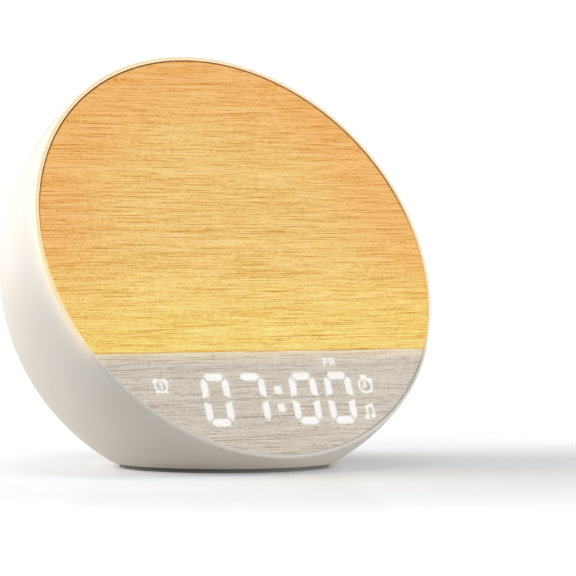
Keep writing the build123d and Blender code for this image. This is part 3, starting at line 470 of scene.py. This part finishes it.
def display_distance(x, y):
    """Distance in millimetres to the nearest lit mark of the display, negative inside."""
    qx, qy = leaned(x, y)
    found = []
    centres = [(-1, -1), (-1, 0), (1, 0), (1, 1)]
    for (side, step), number in zip(centres, "0700"):
        cx = qx - (DIGITS_X + side * PAIR_PITCH / 2 + step * DIGIT_PITCH)
        cy = qy - DIGITS_Y
        found.append(convex(cx, cy, LEVEL_BAR))
        for half in (-1, 1):
            found.append(convex(-cx, half * cy, UPRIGHT_BAR))
            if number == "0":
                found.append(convex(cx, half * cy, UPRIGHT_BAR))
        if number == "0":
            found.append(convex(cx, -cy, LEVEL_BAR))
    for half in (-1, 1):
        shift = half * COLON_SPREAD / 2
        found.append(block(x - DIGITS_X - shift * SLANT, y - DIGITS_Y - shift, COLON, COLON))
    found.append(lamp_clock(x + 50.5, y + 57.1))
    found.append(timer_mark(x - 43.1, y + 58.35))
    found.append(music_note(x - 42.0, y + 70.4))
    found.append(day_letters((x - 29.0) / 1.1, (y + 48.4) / 1.1))
    return np.min(found, axis=0)


# ---------------------------------------------------------------- face fabric
AMBER_EDGE, AMBER_INSIDE = linear(249, 192, 110), linear(249, 207, 124)
AMBER_LOW = linear(254, 224, 122)
AMBER_EDGE_LINE = linear(214, 140, 50)       # darker line just above the lit field's lower edge, in the lamp light and in the painted lit base colour
AMBER_RIM_SHADE = linear(96, 46, 24)       # painted shade at the cloth's rim, where it turns over the panel's edge
AMBER_DARK, AMBER_PALE = (0.68, 0.35, 0.05, 1), (1.08, 1.24, 2.1, 1)    # threads, as shares
AMBER_PAINTED_LAMP = linear(150, 150, 150)     # share of the lit field's colour painted into the base colour, as painted lamp light
AMBER_LAMP = linear(223, 223, 223)      # and share of it that glows
BEIGE = linear(236, 227, 214)
BEIGE_DARK, BEIGE_PALE = (0.52, 0.48, 0.43, 1), (1.25, 1.25, 1.27, 1)
BEIGE_STRAY = (0.12, 0.12, 0.12, 1)     # painted glow in the band, as lamp light that strays behind it
BLEED = linear(255, 224, 120)           # and at the band's upper edge
MARK_LIGHT, HALO_LIGHT = linear(222, 237, 255), linear(255, 252, 240)


def cloth_material():
    """Slubby cloth, lit from behind by the lamp and by the marks of the display, with the lamp's amber also
    painted into the lit field's base colour.
    """
    g = Graph("face_cloth")
    _, x, y, _ = g.position()
    # threads that run across the face, each with its own tone, which drifts along its length
    line = g.math("DIVIDE", y, THREAD)
    row = g.math("FLOOR", line)
    across = g.math("FRACT", line)
    mark = g.attribute("mark")
    halo = g.attribute("halo")

    def along(number, length, spread, depth, detail, rough):
        """Noise along the thread of this number, not related to the next thread's."""
        place = g.math("MULTIPLY_ADD", g.chance(number), spread, g.math("DIVIDE", x, length))
        return g.noise(g.vector(place, g.math("MULTIPLY", number, 0.37), depth), 1.0, detail, rough)

    def stretched(length, height, depth):
        """Place in a noise whose spots have this length and height."""
        return g.vector(g.math("DIVIDE", x, length), g.math("DIVIDE", y, height), depth)

    def weighted(value, weight, tone):
        """This tone and a share of a value about 0.5."""
        return g.math("MULTIPLY_ADD", g.math("SUBTRACT", value, 0.5), weight, tone)

    def ribs(period, length, depth):
        """Ribs of this period whose strength changes along the threads."""
        wave = g.math("SINE", g.math("MULTIPLY", y, 2 * math.pi / period))
        strength = g.noise(stretched(length, 1.1, depth), 1.0, 2.0)
        return g.math("MULTIPLY", wave, g.math("SUBTRACT", strength, 0.5))

    shorts = along(row, 15.0, 61.0, 0.0, 4.0, 0.7)
    longs = along(row, 42.0, 47.0, 4.0, 1.0, 0.5)
    patch = g.noise(stretched(38.0, 3.6, 5.0), 1.0, 2.0)
    slubs = g.noise(stretched(16.0, 1.3, 7.0), 1.0, 1.0)
    cell = g.math("FLOOR", g.math("MULTIPLY", x, 1.9))
    grain = g.chance(g.math("MULTIPLY_ADD", row, 57.31, g.math("MULTIPLY", cell, 1.37)))
    half_row = g.math("FRACT", g.math("MULTIPLY", row, 0.5))
    pair = g.math("SUBTRACT", g.math("MULTIPLY", half_row, 4.0), 1.0)      # -1 and 1 by turns
    tone = g.math("MULTIPLY", g.math("SUBTRACT", shorts, 0.5), 9.5)
    tone = weighted(longs, 4.4, tone)
    tone = weighted(patch, 3.0, tone)
    tone = weighted(g.chance(row), 1.5, tone)
    tone = weighted(grain, 4.0, tone)
    tone = g.math("MULTIPLY_ADD", pair, g.math("MULTIPLY", slubs, 1.7), tone)
    tone = g.math("MULTIPLY_ADD", ribs(RIBS, 19.0, 1.0), 19.0, tone)
    tone = g.math("MULTIPLY_ADD", ribs(WIDE_RIBS, 21.0, 2.0), 10.0, tone)
    # the warp crosses them, and shows as dots where a thread is dark
    warp_place = g.math("MULTIPLY_ADD", row, 0.23, g.math("DIVIDE", x, WARP))
    warp = g.math("ABSOLUTE", g.math("SUBTRACT", g.math("FRACT", warp_place), 0.5))
    deep = g.span(tone, 1.6, -1.4)
    dots = g.math("MULTIPLY", g.math("SUBTRACT", warp, 0.25), deep)
    tone = g.math("MULTIPLY_ADD", dots, 9.0, tone)
    dark = g.math("DIVIDE", tone, -5.5, clamp=True)
    dark = g.math("MULTIPLY", dark, g.math("MULTIPLY_ADD", mark, -0.85, 1.0))
    pale = g.math("DIVIDE", tone, 6.8, clamp=True)
    hollow = g.math("ABSOLUTE", g.math("SUBTRACT", across, 0.5))
    weave = g.math("ADD", g.math("MULTIPLY", hollow, 0.6), g.math("MULTIPLY", warp, 0.4))
    # lit field: amber at its edges, paler inside, yellow towards its lower edge, as light and as painted
    # lamp light in the base colour
    wave = g.noise(g.vector(g.math("MULTIPLY", x, 0.05), 0.0, 2.0), 1.0, 2.0)
    edge = g.math("MULTIPLY_ADD", x, -0.003, LIGHT_EDGE)
    edge = g.math("MULTIPLY_ADD", g.math("SUBTRACT", wave, 0.5), 1.0, edge)
    above = g.math("SUBTRACT", y, edge)
    lit = g.span(above, -0.2, 0.25)
    radius = g.distance(x, y)
    inside = g.span(radius, 83.0, 42.0)
    low = g.math("MULTIPLY", g.span(y, 15.0, -41.0), 0.85)
    # darker amber line just above the lit field's lower edge, in the lamp light and in the painted lit base
    # colour
    edge_line = g.math("MULTIPLY", g.span(above, 1.0, 0.3), 0.45)
    amber = g.mix(inside, AMBER_EDGE, AMBER_INSIDE)
    amber = g.mix(low, amber, AMBER_LOW)
    amber = g.mix(edge_line, amber, AMBER_EDGE_LINE)
    tint = g.mix(pale, g.mix(dark, WHITE, AMBER_DARK), AMBER_PALE)
    amber = g.mix(1.0, amber, tint, "MULTIPLY")
    tint = g.mix(pale, g.mix(dark, WHITE, BEIGE_DARK), BEIGE_PALE)
    beige = g.mix(1.0, BEIGE, tint, "MULTIPLY")
    # painted shade at the rim: no lamp light gets through where the cloth turns over the panel's edge, and
    # its base colour darkens to brown, more towards the top
    turned = g.span(radius, CLOTH - 0.9, CLOTH - 0.35)
    turned = g.math("MULTIPLY", turned, g.span(y, -5.0, 38.0, 0.12, 0.95))
    amber = g.mix(turned, amber, AMBER_RIM_SHADE)
    # painted lamp light: the lit field's base colour is a share of the amber, where the cloth itself is
    # beige
    base = g.mix(lit, beige, g.mix(1.0, amber, AMBER_PAINTED_LAMP, "MULTIPLY"))
    # light: the lamp, its bleed below the edge, and the display's marks
    bleed = g.math("MULTIPLY", g.span(above, -6.0, 0.4), g.math("SUBTRACT", 1.0, lit))
    # painted glow that brightens the beige band
    stray = g.mix(1.0, beige, BEIGE_STRAY, "MULTIPLY")
    glow = g.mix(g.math("MULTIPLY", bleed, 0.2), stray, BLEED)
    glow = g.mix(lit, glow, g.mix(1.0, amber, AMBER_LAMP, "MULTIPLY"))
    glow = g.mix(g.math("MULTIPLY", mark, 0.37), glow, MARK_LIGHT, "ADD")
    glow = g.mix(g.math("MULTIPLY", halo, 0.03), glow, HALO_LIGHT, "ADD")
    relief = g.math("MULTIPLY_ADD", tone, 0.12, g.math("MULTIPLY", weave, -1.0))
    return g.surface(base, 0.88, Emission_Color=glow, Emission_Strength=1.0, Sheen_Weight=0.08,
                     Specular_IOR_Level=0.25, Normal=g.bump(relief, 0.09 * MM, 0.25))


MARK_ROWS = 0.17         # from row to row of vertices where the marks are
FIELD_ROWS = 300         # rows in the lit field
COLUMNS = 520            # vertices in a row
CROWDING = 0.92          # how far the columns crowd towards the ends of a row, below 1
WAVES = 60               # waves of the cloth's relief
RELIEF = 0.06            # and its depth
MARK_BLUR = 0.3          # width of a mark's soft edge
HALO_REACH = 0.9         # the light round a mark falls off over this distance


def build_fabric(material):
    """Disc of cloth with a soft edge, finely divided so that the display's marks are crisp."""
    band = np.arange(-CLOTH, LIGHT_EDGE - 2, MARK_ROWS)
    field = np.linspace(LIGHT_EDGE - 2, CLOTH, FIELD_ROWS)
    heights = np.concatenate([band, field])
    heights[0], heights[-1] = -CLOTH * 0.99995, CLOTH * 0.99995
    bend = math.pi / 2 * CROWDING
    across = np.sin(np.linspace(-1, 1, COLUMNS) * bend) / math.sin(bend)
    half = np.sqrt(np.maximum(CLOTH ** 2 - heights ** 2, 0))
    x = half[:, None] * across[None, :]
    y = np.repeat(heights[:, None], COLUMNS, axis=1)
    inset = CLOTH - np.hypot(x, y)
    inward = np.clip(inset / CLOTH_ROUND, 0, 1)
    level = FABRIC_FRONT - CLOTH_ROUND * (1 - np.sqrt(1 - (1 - inward) ** 2))
    rng = np.random.default_rng(7)
    relief = np.zeros_like(x)
    for _ in range(WAVES):
        wide, high = rng.uniform(0.02, 0.25), rng.uniform(1.2, 6.0)
        relief += np.sin(wide * x + high * y + rng.uniform(0, 6.28)) / WAVES
    level = level - RELIEF / 2 + RELIEF * relief * np.clip(inset, 0, 1)
    rows = len(heights)
    front = np.stack([x, y, level], axis=2).reshape(-1, 3)
    index = np.arange(rows * COLUMNS).reshape(rows, COLUMNS)
    quads = np.stack([index[:-1, :-1], index[:-1, 1:], index[1:, 1:], index[1:, :-1]], axis=2)
    around = np.concatenate([index[0], index[1:, -1], index[-1, -2::-1], index[-2:0:-1, 0]])
    back = front[around].copy()
    back[:, 2] = FABRIC_BACK
    first = len(front)
    count = len(around)
    wall = [(int(around[i]), first + i, first + (i + 1) % count, int(around[(i + 1) % count]))
            for i in range(count)]
    points = np.concatenate([front, back]) * MM
    back_face = tuple(first + i for i in reversed(range(count)))
    faces = [tuple(q) for q in quads.reshape(-1, 4).tolist()] + wall + [back_face]
    cloth = piece("face_cloth", points, faces, material, ["face_fabric"], FACE, sharp=60)
    spots = np.concatenate([front, back])
    distance = display_distance(spots[:, 0], spots[:, 1])
    put_attribute(cloth, "mark", np.clip(0.5 - distance / MARK_BLUR, 0, 1))
    put_attribute(cloth, "halo", np.exp(-np.clip(distance, 0, 20) / HALO_REACH))


# ---------------------------------------------------------------- keys
def lamp_mark(x, y):
    """Lamp: a ring with eight rays."""
    parts = [ring_line(x, y, 0.85, 0.4)]
    for turn in range(8):
        dx, dy = math.cos(turn * math.pi / 4), math.sin(turn * math.pi / 4)
        parts.append(stroke(x, y, (1.45 * dx, 1.45 * dy), (2.2 * dx, 2.2 * dy), 0.36))
    return np.min(parts, axis=0)


def scaled(mark, size, *options):
    """The same mark in another size."""
    return lambda x, y: mark(x / size, y / size, *options) * size


def sleep_mark(x, y):
    """Two letters Z, a large one and a small one."""
    parts = []
    for middle, size in ((-0.8, 1.35), (1.75, 0.9)):
        corners = [(-size * 0.8, size), (size * 0.8, size), (-size * 0.8, -size), (size * 0.8, -size)]
        parts.append(polyline(x - middle, y, corners, 0.42))
    return np.min(parts, axis=0)


# each key's place on the pad, and the distance to its mark
KEYS = {
    "alarm_one": ((-18.6, 6.2), scaled(lamp_clock, 0.72)),
    "snooze": ((0.0, 6.2), sleep_mark),
    "alarm_two": ((18.6, 6.2), scaled(lamp_clock, 0.72, 2)),
    "light": ((-18.6, -6.2), lamp_mark),
    "volume_down": ((-6.2, -6.2), lambda x, y: block(x, y, 3.4, 0.5)),
    "volume_up": ((6.2, -6.2), lambda x, y: np.minimum(block(x, y, 3.4, 0.5), block(x, y, 0.5, 3.4))),
    "sound": ((18.6, -6.2), lambda x, y: music_note(x / 0.7 - 0.15, y / 0.7 + 0.3) * 0.7),
}
KEY_RADIUS = 3.9
KEY_TOP, KEY_FLANGE_TOP, KEY_FLANGE_BACK, STEM_BACK = 85.0, 81.9, 81.1, 79.3
KEY_FLANGE = 0.9         # how far the flange stands out
KEY_ROUND = 0.45         # rounding of its top edge
KEY_DISH = 0.22          # depth of the finger dish
DISH_STEP = 0.12         # from ring to ring in the dish
STEM = 1.5               # half the stem's side
SNOOZE_HALF = 6.3        # half the straight part of the long key
END_STEPS, SIDE_STEPS = 72, 64  # steps round an end, and along a straight part


def key_material():
    """Matte key with its mark printed in grey."""
    g = Graph("key_plastic")
    spot, _, _, _ = g.position()
    mark = g.attribute("mark")
    fine = g.noise(spot, 2.4, 3.0, 0.6)
    wide = g.noise(spot, 0.05, 2.0)
    base = g.mix(g.span(wide, 0.3, 0.7), linear(229, 225, 217), linear(235, 231, 224))
    base = g.mix(mark, base, linear(96, 94, 92))
    return g.surface(base, g.span(fine, 0.3, 0.7, 0.44, 0.54), Normal=g.bump(fine, 0.01 * MM, 0.6))


def build_key(name, place, mark, material):
    """A dished key with a round edge, its flange under the panel and its stem."""
    half = SNOOZE_HALF if name == "snooze" else 0.0
    # outwards directions round the key: an end, a straight side, the other end and side
    turn = np.linspace(0, math.pi, END_STEPS)
    ends = [np.stack([np.cos(turn + start), np.sin(turn + start)], axis=1)
            for start in (-math.pi / 2, math.pi / 2)]
    along = np.linspace(-1, 1, SIDE_STEPS)[1:-1] if half else np.zeros(0)
    above_side, below_side = (np.tile((0.0, way), (len(along), 1)) for way in (1.0, -1.0))
    out = np.concatenate([ends[0], above_side, ends[1], below_side])
    shift = np.concatenate([np.ones(END_STEPS), -along, -np.ones(END_STEPS), along]) * half

    edge = [(KEY_RADIUS - KEY_ROUND * (1 - math.cos(a)), KEY_TOP - KEY_ROUND * (1 - math.sin(a)))
            for a in np.linspace(0, math.pi / 2, 7)]
    flat = KEY_RADIUS - KEY_ROUND
    dish = [(r, KEY_TOP - KEY_DISH * (1 - (r / flat) ** 2))
            for r in np.arange(flat - DISH_STEP, 0.05, -DISH_STEP)]
    rings = [(KEY_RADIUS + KEY_FLANGE, KEY_FLANGE_BACK), (KEY_RADIUS + KEY_FLANGE, KEY_FLANGE_TOP),
             (KEY_RADIUS, KEY_FLANGE_TOP)] + edge + dish
    count = len(out)
    points = np.concatenate([
        np.stack([out[:, 0] * r + shift, out[:, 1] * r, np.full(count, z)], axis=1) for r, z in rings])
    start = len(points)
    faces = [tuple(reversed(range(count)))] + tube_faces(len(rings), count)
    faces.append(tuple(range(start - count, start)))
    stem = [(x, y, z) for z in (STEM_BACK, KEY_FLANGE_BACK + 0.2) for x, y in
            ((-STEM, -STEM), (STEM, -STEM), (STEM, STEM), (-STEM, STEM))]
    points = np.concatenate([points, stem])
    faces += [tuple(start + i for i in f) for f in (
        (3, 2, 1, 0), (4, 5, 6, 7), (0, 1, 5, 4), (1, 2, 6, 5), (2, 3, 7, 6), (3, 0, 4, 7))]
    moved = points + np.array([place[0], place[1], 0.0])
    key = piece("key_cap_" + name, moved * MM, faces, material, ["key_" + name], PAD,
                "button_" + name, sharp=40)
    distance = mark(points[:, 0], points[:, 1])
    top = points[:, 2] > KEY_TOP - KEY_DISH - 0.01
    put_attribute(key, "mark", np.where(top, np.clip(0.5 - distance / 0.12, 0, 1), 0.0))


# ---------------------------------------------------------------- foot and screws
FOOT_INNER, FOOT_OUTER, FOOT_HEIGHT = 34.0, 42.0, 1.6
FOOT_ROUND = 0.3         # rounding of its lower edges
FOOT_STEPS = 360
SCREW_STEPS = 72
SCREW_ROUND = 0.35       # rounding of a head


def foot_profile():
    """Section of the foot ring: round lower edges and a step under the ball."""
    outer = [(FOOT_OUTER - FOOT_ROUND * (1 - math.cos(a)), FOOT_ROUND * (1 - math.sin(a)))
             for a in np.linspace(math.pi / 2, 0, 5)]
    inner = [(FOOT_INNER + FOOT_ROUND * (1 - math.cos(a)), FOOT_ROUND * (1 - math.sin(a)))
             for a in np.linspace(0, math.pi / 2, 5)]
    step = [(FOOT_OUTER, 1.1), (FOOT_OUTER - 0.9, 1.15), (FOOT_OUTER - 0.9, FOOT_HEIGHT)]
    return outer + step + [(FOOT_INNER, FOOT_HEIGHT)] + inner


def screw_parts(place, head, shank, low, seat, end):
    """Points and faces of a pan head screw with a six-lobed drive, its head down.

    Given are its place, the radii of head and shank, and the levels of the head's face, of its
    seat and of the screw's end.
    """
    turn = np.linspace(0, 2 * math.pi, SCREW_STEPS, endpoint=False)
    lobes = 1 + 0.13 * np.cos(6 * turn)
    drive = head * 0.48
    rings = [(drive * lobes, low + 0.75), (drive * lobes, low + 0.06), ((drive + 0.06) * lobes, low)]
    rings += [(head - SCREW_ROUND * (1 - math.sin(a)), low + SCREW_ROUND * (1 - math.cos(a)))
              for a in np.linspace(0, math.pi / 2, 6)]
    rings += [(head, seat), (shank, seat), (shank, end - 0.4), (shank * 0.6, end)]
    points = np.concatenate([
        np.stack([place[0] + r * np.cos(turn), place[1] + r * np.sin(turn), 0 * turn + z], axis=1)
        for r, z in rings])
    caps = [tuple(reversed(range(SCREW_STEPS))), tuple(range(len(points) - SCREW_STEPS, len(points)))]
    return points, caps + tube_faces(len(rings), SCREW_STEPS)


def build_screws(name, node, material, places, *sizes):
    """One piece with a screw at each place, which replaces this CAD node."""
    points, faces = np.zeros((0, 3)), []
    for place in places:
        more, more_faces = screw_parts(place, *sizes)
        faces += [tuple(len(points) + i for i in f) for f in more_faces]
        points = np.concatenate([points, more])
    piece(name, points * MM, faces, material, [node], sharp=35)


def soften(node, width):
    """Small round edges on a CAD piece."""
    bevel = nodes[node].modifiers.new("soft_edge", "BEVEL")
    bevel.width = width * MM
    bevel.segments = 2
    bevel.limit_method = "ANGLE"
    bevel.angle_limit = math.radians(50)


# ---------------------------------------------------------------- materials of the CAD pieces
RUBBER = dict(color=(138, 132, 126), rough=0.85, grain=1.4, depth=0.03)
STEEL = dict(color=(150, 150, 148), rough=0.35, metal=1.0)
finishes = {
    "white_plastic": dict(color=(236, 236, 232), rough=0.6),
    "diffuser_plastic": dict(color=(240, 238, 230), rough=0.45),
    "foam": dict(color=(60, 60, 62), rough=0.95, grain=0.9, depth=0.15),
    "white_board": dict(color=(232, 234, 232), rough=0.4),
    "led_lens": dict(color=(238, 214, 130), rough=0.25),
    "black_plastic": dict(color=(34, 34, 36), rough=0.5),
    "digit_light": dict(color=(240, 240, 236), rough=0.35),
    "green_board": dict(color=(24, 92, 60), rough=0.4),
    "dark_lens": dict(color=(22, 14, 18), rough=0.12),
    "grey_plastic": dict(color=(206, 202, 194), rough=0.5),
    "foot_rubber": RUBBER,
    "cell_steel": dict(color=(196, 196, 194), rough=0.28, metal=1.0),
    "contact_steel": dict(color=(200, 190, 160), rough=0.3, metal=1.0),
    "screw_steel": STEEL,
    "frame_steel": dict(color=(120, 122, 124), rough=0.45, metal=0.8),
    "surround_rubber": dict(color=(36, 36, 38), rough=0.8),
    "cone_paper": dict(color=(58, 58, 60), rough=0.9, grain=1.1, depth=0.06),
    "magnet_iron": dict(color=(70, 72, 76), rough=0.5, metal=0.7),
    "key_plastic": dict(color=(232, 228, 220), rough=0.5),
    "switch_plastic": dict(color=(40, 40, 42), rough=0.45),
    "usb_plastic": dict(color=(236, 236, 234), rough=0.4),
    "lead_sleeve": dict(color=(218, 218, 214), rough=0.5),
    "shell_plastic": dict(color=(240, 235, 228), rough=0.46),
    "face_cloth": dict(color=(212, 202, 188), rough=0.9),
}
cad_finishes = {slot: moulded(slot + "_cad", **settings) for slot, settings in finishes.items()}
for row in frame["record"]["subparts"]:
    node = nodes.get(row["node"])
    if node is not None:
        node.data.materials.clear()
        node.data.materials.append(cad_finishes[row["material_slot"]])

build_shell(shell_material())
build_fabric(cloth_material())
key_finish = key_material()
for key_name, (key_place, key_mark) in KEYS.items():
    build_key(key_name, key_place, key_mark, key_finish)
steel = moulded("screw_steel", **STEEL)
build_screws("base_screw_set", "base_screws", steel,
             [(0, 28.0), (24.25, -14.0), (-24.25, -14.0)], 2.7, 1.25, 0.4, 1.6, 9.1)
build_screws("door_screw_set", "door_screw", steel, [(0, 16.0)], 1.9, 0.9, 0.6, 1.6, 6.1)
foot_points, foot_faces = lathe(foot_profile(), FOOT_STEPS)
piece("foot_ring", foot_points, foot_faces, moulded("foot_rubber", **RUBBER),
      ["rubber_foot"], sharp=40)
for soft_node, soft_width in (("control_panel", 0.3), ("speaker_grille", 0.2), ("base_plate", 0.3),
                              ("battery_door", 0.25), ("dc_jack", 0.3)):
    soften(soft_node, soft_width)

# ---------------------------------------------------------------- camera
AZIMUTH, PITCH = math.radians(32.294), math.radians(0.785)
DISTANCE = 1371.0        # from the aim, in millimetres
AIM_RIGHT, AIM_DOWN = 25.606, 8.596     # aim from the ball's centre, in millimetres
FOCAL, IMAGE = 3419.1, 576      # focal length and image width, in pixels
SENSOR = 36              # in millimetres
ahead = Vector((math.sin(AZIMUTH) * math.cos(PITCH), math.cos(AZIMUTH) * math.cos(PITCH),
                -math.sin(PITCH)))
right = Vector((math.cos(AZIMUTH), -math.sin(AZIMUTH), 0))
above = right.cross(ahead)
aim = CENTRE + (right * AIM_RIGHT - above * AIM_DOWN) * MM
camera = bpy.data.objects.new("camera", bpy.data.cameras.new("camera"))
camera.data.lens = FOCAL / IMAGE * SENSOR
camera.data.sensor_width = SENSOR
camera.data.clip_start, camera.data.clip_end = 0.1, 50
stand = Matrix((right, above, -ahead)).transposed().to_4x4()
stand.translation = aim - ahead * DISTANCE * MM
camera.matrix_world = stand
bpy.context.scene.collection.objects.link(camera)
bpy.context.scene.camera = camera


# ---------------------------------------------------------------- floor, lights and world
def studio(sideways, height, back):
    """A place seen from the camera: right of the ball, above it and behind it, in metres."""
    level = Vector((ahead.x, ahead.y, 0)).normalized()
    return CENTRE + right * sideways + Vector((0, 0, height)) + level * back


def softbox(name, spot, size, power, color):
    """Square area light that looks at the ball's centre."""
    light = bpy.data.lights.new(name, "AREA")
    light.shape, light.size, light.energy, light.color = "SQUARE", size, power, color
    lamp = bpy.data.objects.new(name, light)
    turned = (CENTRE - spot).to_track_quat("-Z", "Y").to_matrix().to_4x4()
    lamp.matrix_world = Matrix.Translation(spot) @ turned
    bpy.context.scene.collection.objects.link(lamp)


softbox("back_left", studio(-0.75, 0.15, 0.6), 0.6, 1.9, (1.0, 0.97, 0.93))
softbox("left_light", studio(-1.3, 0.45, 0.0), 0.9, 10.5, (1.0, 0.985, 0.96))
softbox("low_light", studio(1.15, -0.03, -0.7), 0.3, 8.2, (1.0, 0.99, 0.97))
softbox("right_edge", studio(1.2, -0.02, 0.3), 0.11, 1.7, (1.0, 0.99, 0.975))

WORLD_LIGHT, WORLD_SEEN = 0.3, 1.05     # strengths as a light, and as seen
FLOOR_HALF = 8.0         # half the floor's side, in metres
FLOOR_SEEN = (1.66, 1.7, 1.77, 1)
FLOOR_LIGHT = (0.79, 0.775, 0.75, 1)
SHADE_REACH = 0.11       # painted shade: the floor is darker this near to the ball, in metres


def build_world():
    """White for the camera and in reflections, dimmer as a light."""
    world = bpy.data.worlds.new("studio")
    bpy.context.scene.world = world
    world.use_nodes = True
    tree = world.node_tree
    tree.nodes.clear()
    path = tree.nodes.new("ShaderNodeLightPath")
    seen = tree.nodes.new("ShaderNodeMath")
    seen.operation = "MAXIMUM"
    tree.links.new(path.outputs["Is Camera Ray"], seen.inputs[0])
    tree.links.new(path.outputs["Is Glossy Ray"], seen.inputs[1])
    strength = tree.nodes.new("ShaderNodeMapRange")
    strength.inputs["To Min"].default_value = WORLD_LIGHT
    strength.inputs["To Max"].default_value = WORLD_SEEN
    tree.links.new(seen.outputs[0], strength.inputs["Value"])
    sky = tree.nodes.new("ShaderNodeBackground")
    sky.inputs["Color"].default_value = WHITE
    tree.links.new(strength.outputs[0], sky.inputs["Strength"])
    end = tree.nodes.new("ShaderNodeOutputWorld")
    tree.links.new(sky.outputs[0], end.inputs["Surface"])


def floor_material():
    """White table top with a faint mirror image, and painted shade close to the ball.

    As a light on the ball's underside it counts less, and far away it turns into the background.
    """
    g = Graph("studio_floor")
    spot, x, y, _ = g.position()
    seen = g.add("ShaderNodeLightPath").outputs["Is Camera Ray"]
    # painted contact shade: ambient occlusion darkens the floor's colour near the ball
    near = g.add("ShaderNodeAmbientOcclusion", None, SHADE_REACH).outputs["AO"]
    shade = g.grey(g.span(near, 0.45, 0.95, 0.7, 1.0))
    tone = g.mix(seen, FLOOR_LIGHT, g.mix(1.0, FLOOR_SEEN, shade, "MULTIPLY"))
    cloudy = g.span(g.noise(spot, 0.02, 1.0), 0.3, 0.7, 0.0, 0.1)
    dull = g.add("ShaderNodeBsdfDiffuse", tone, cloudy).outputs[0]
    bright = g.add("ShaderNodeBsdfGlossy", WHITE, 0.06).outputs[0]
    surface = g.add("ShaderNodeMixShader", 0.06, dull, bright).outputs[0]
    power = g.math("MULTIPLY", g.span(g.distance(x, y), 150.0, 450.0, 0.0, 0.6), seen)
    lamp = g.add("ShaderNodeEmission", WHITE, power).outputs[0]
    g.add("ShaderNodeOutputMaterial", g.add("ShaderNodeAddShader", surface, lamp).outputs[0])
    return g.material


def build_floor():
    """Square table top under the object."""
    corners = [(x * FLOOR_HALF, y * FLOOR_HALF, 0) for x, y in ((-1, -1), (1, -1), (1, 1), (-1, 1))]
    mesh = bpy.data.meshes.new("studio_floor")
    mesh.from_pydata(corners, [], [(0, 1, 2, 3)])
    mesh.materials.append(floor_material())
    table_top = bpy.data.objects.new("studio_floor", mesh)
    bpy.context.scene.collection.objects.link(table_top)


build_world()
build_floor()
bpy.context.scene.view_settings.view_transform = "Standard"
bpy.context.scene.view_settings.look = "None"
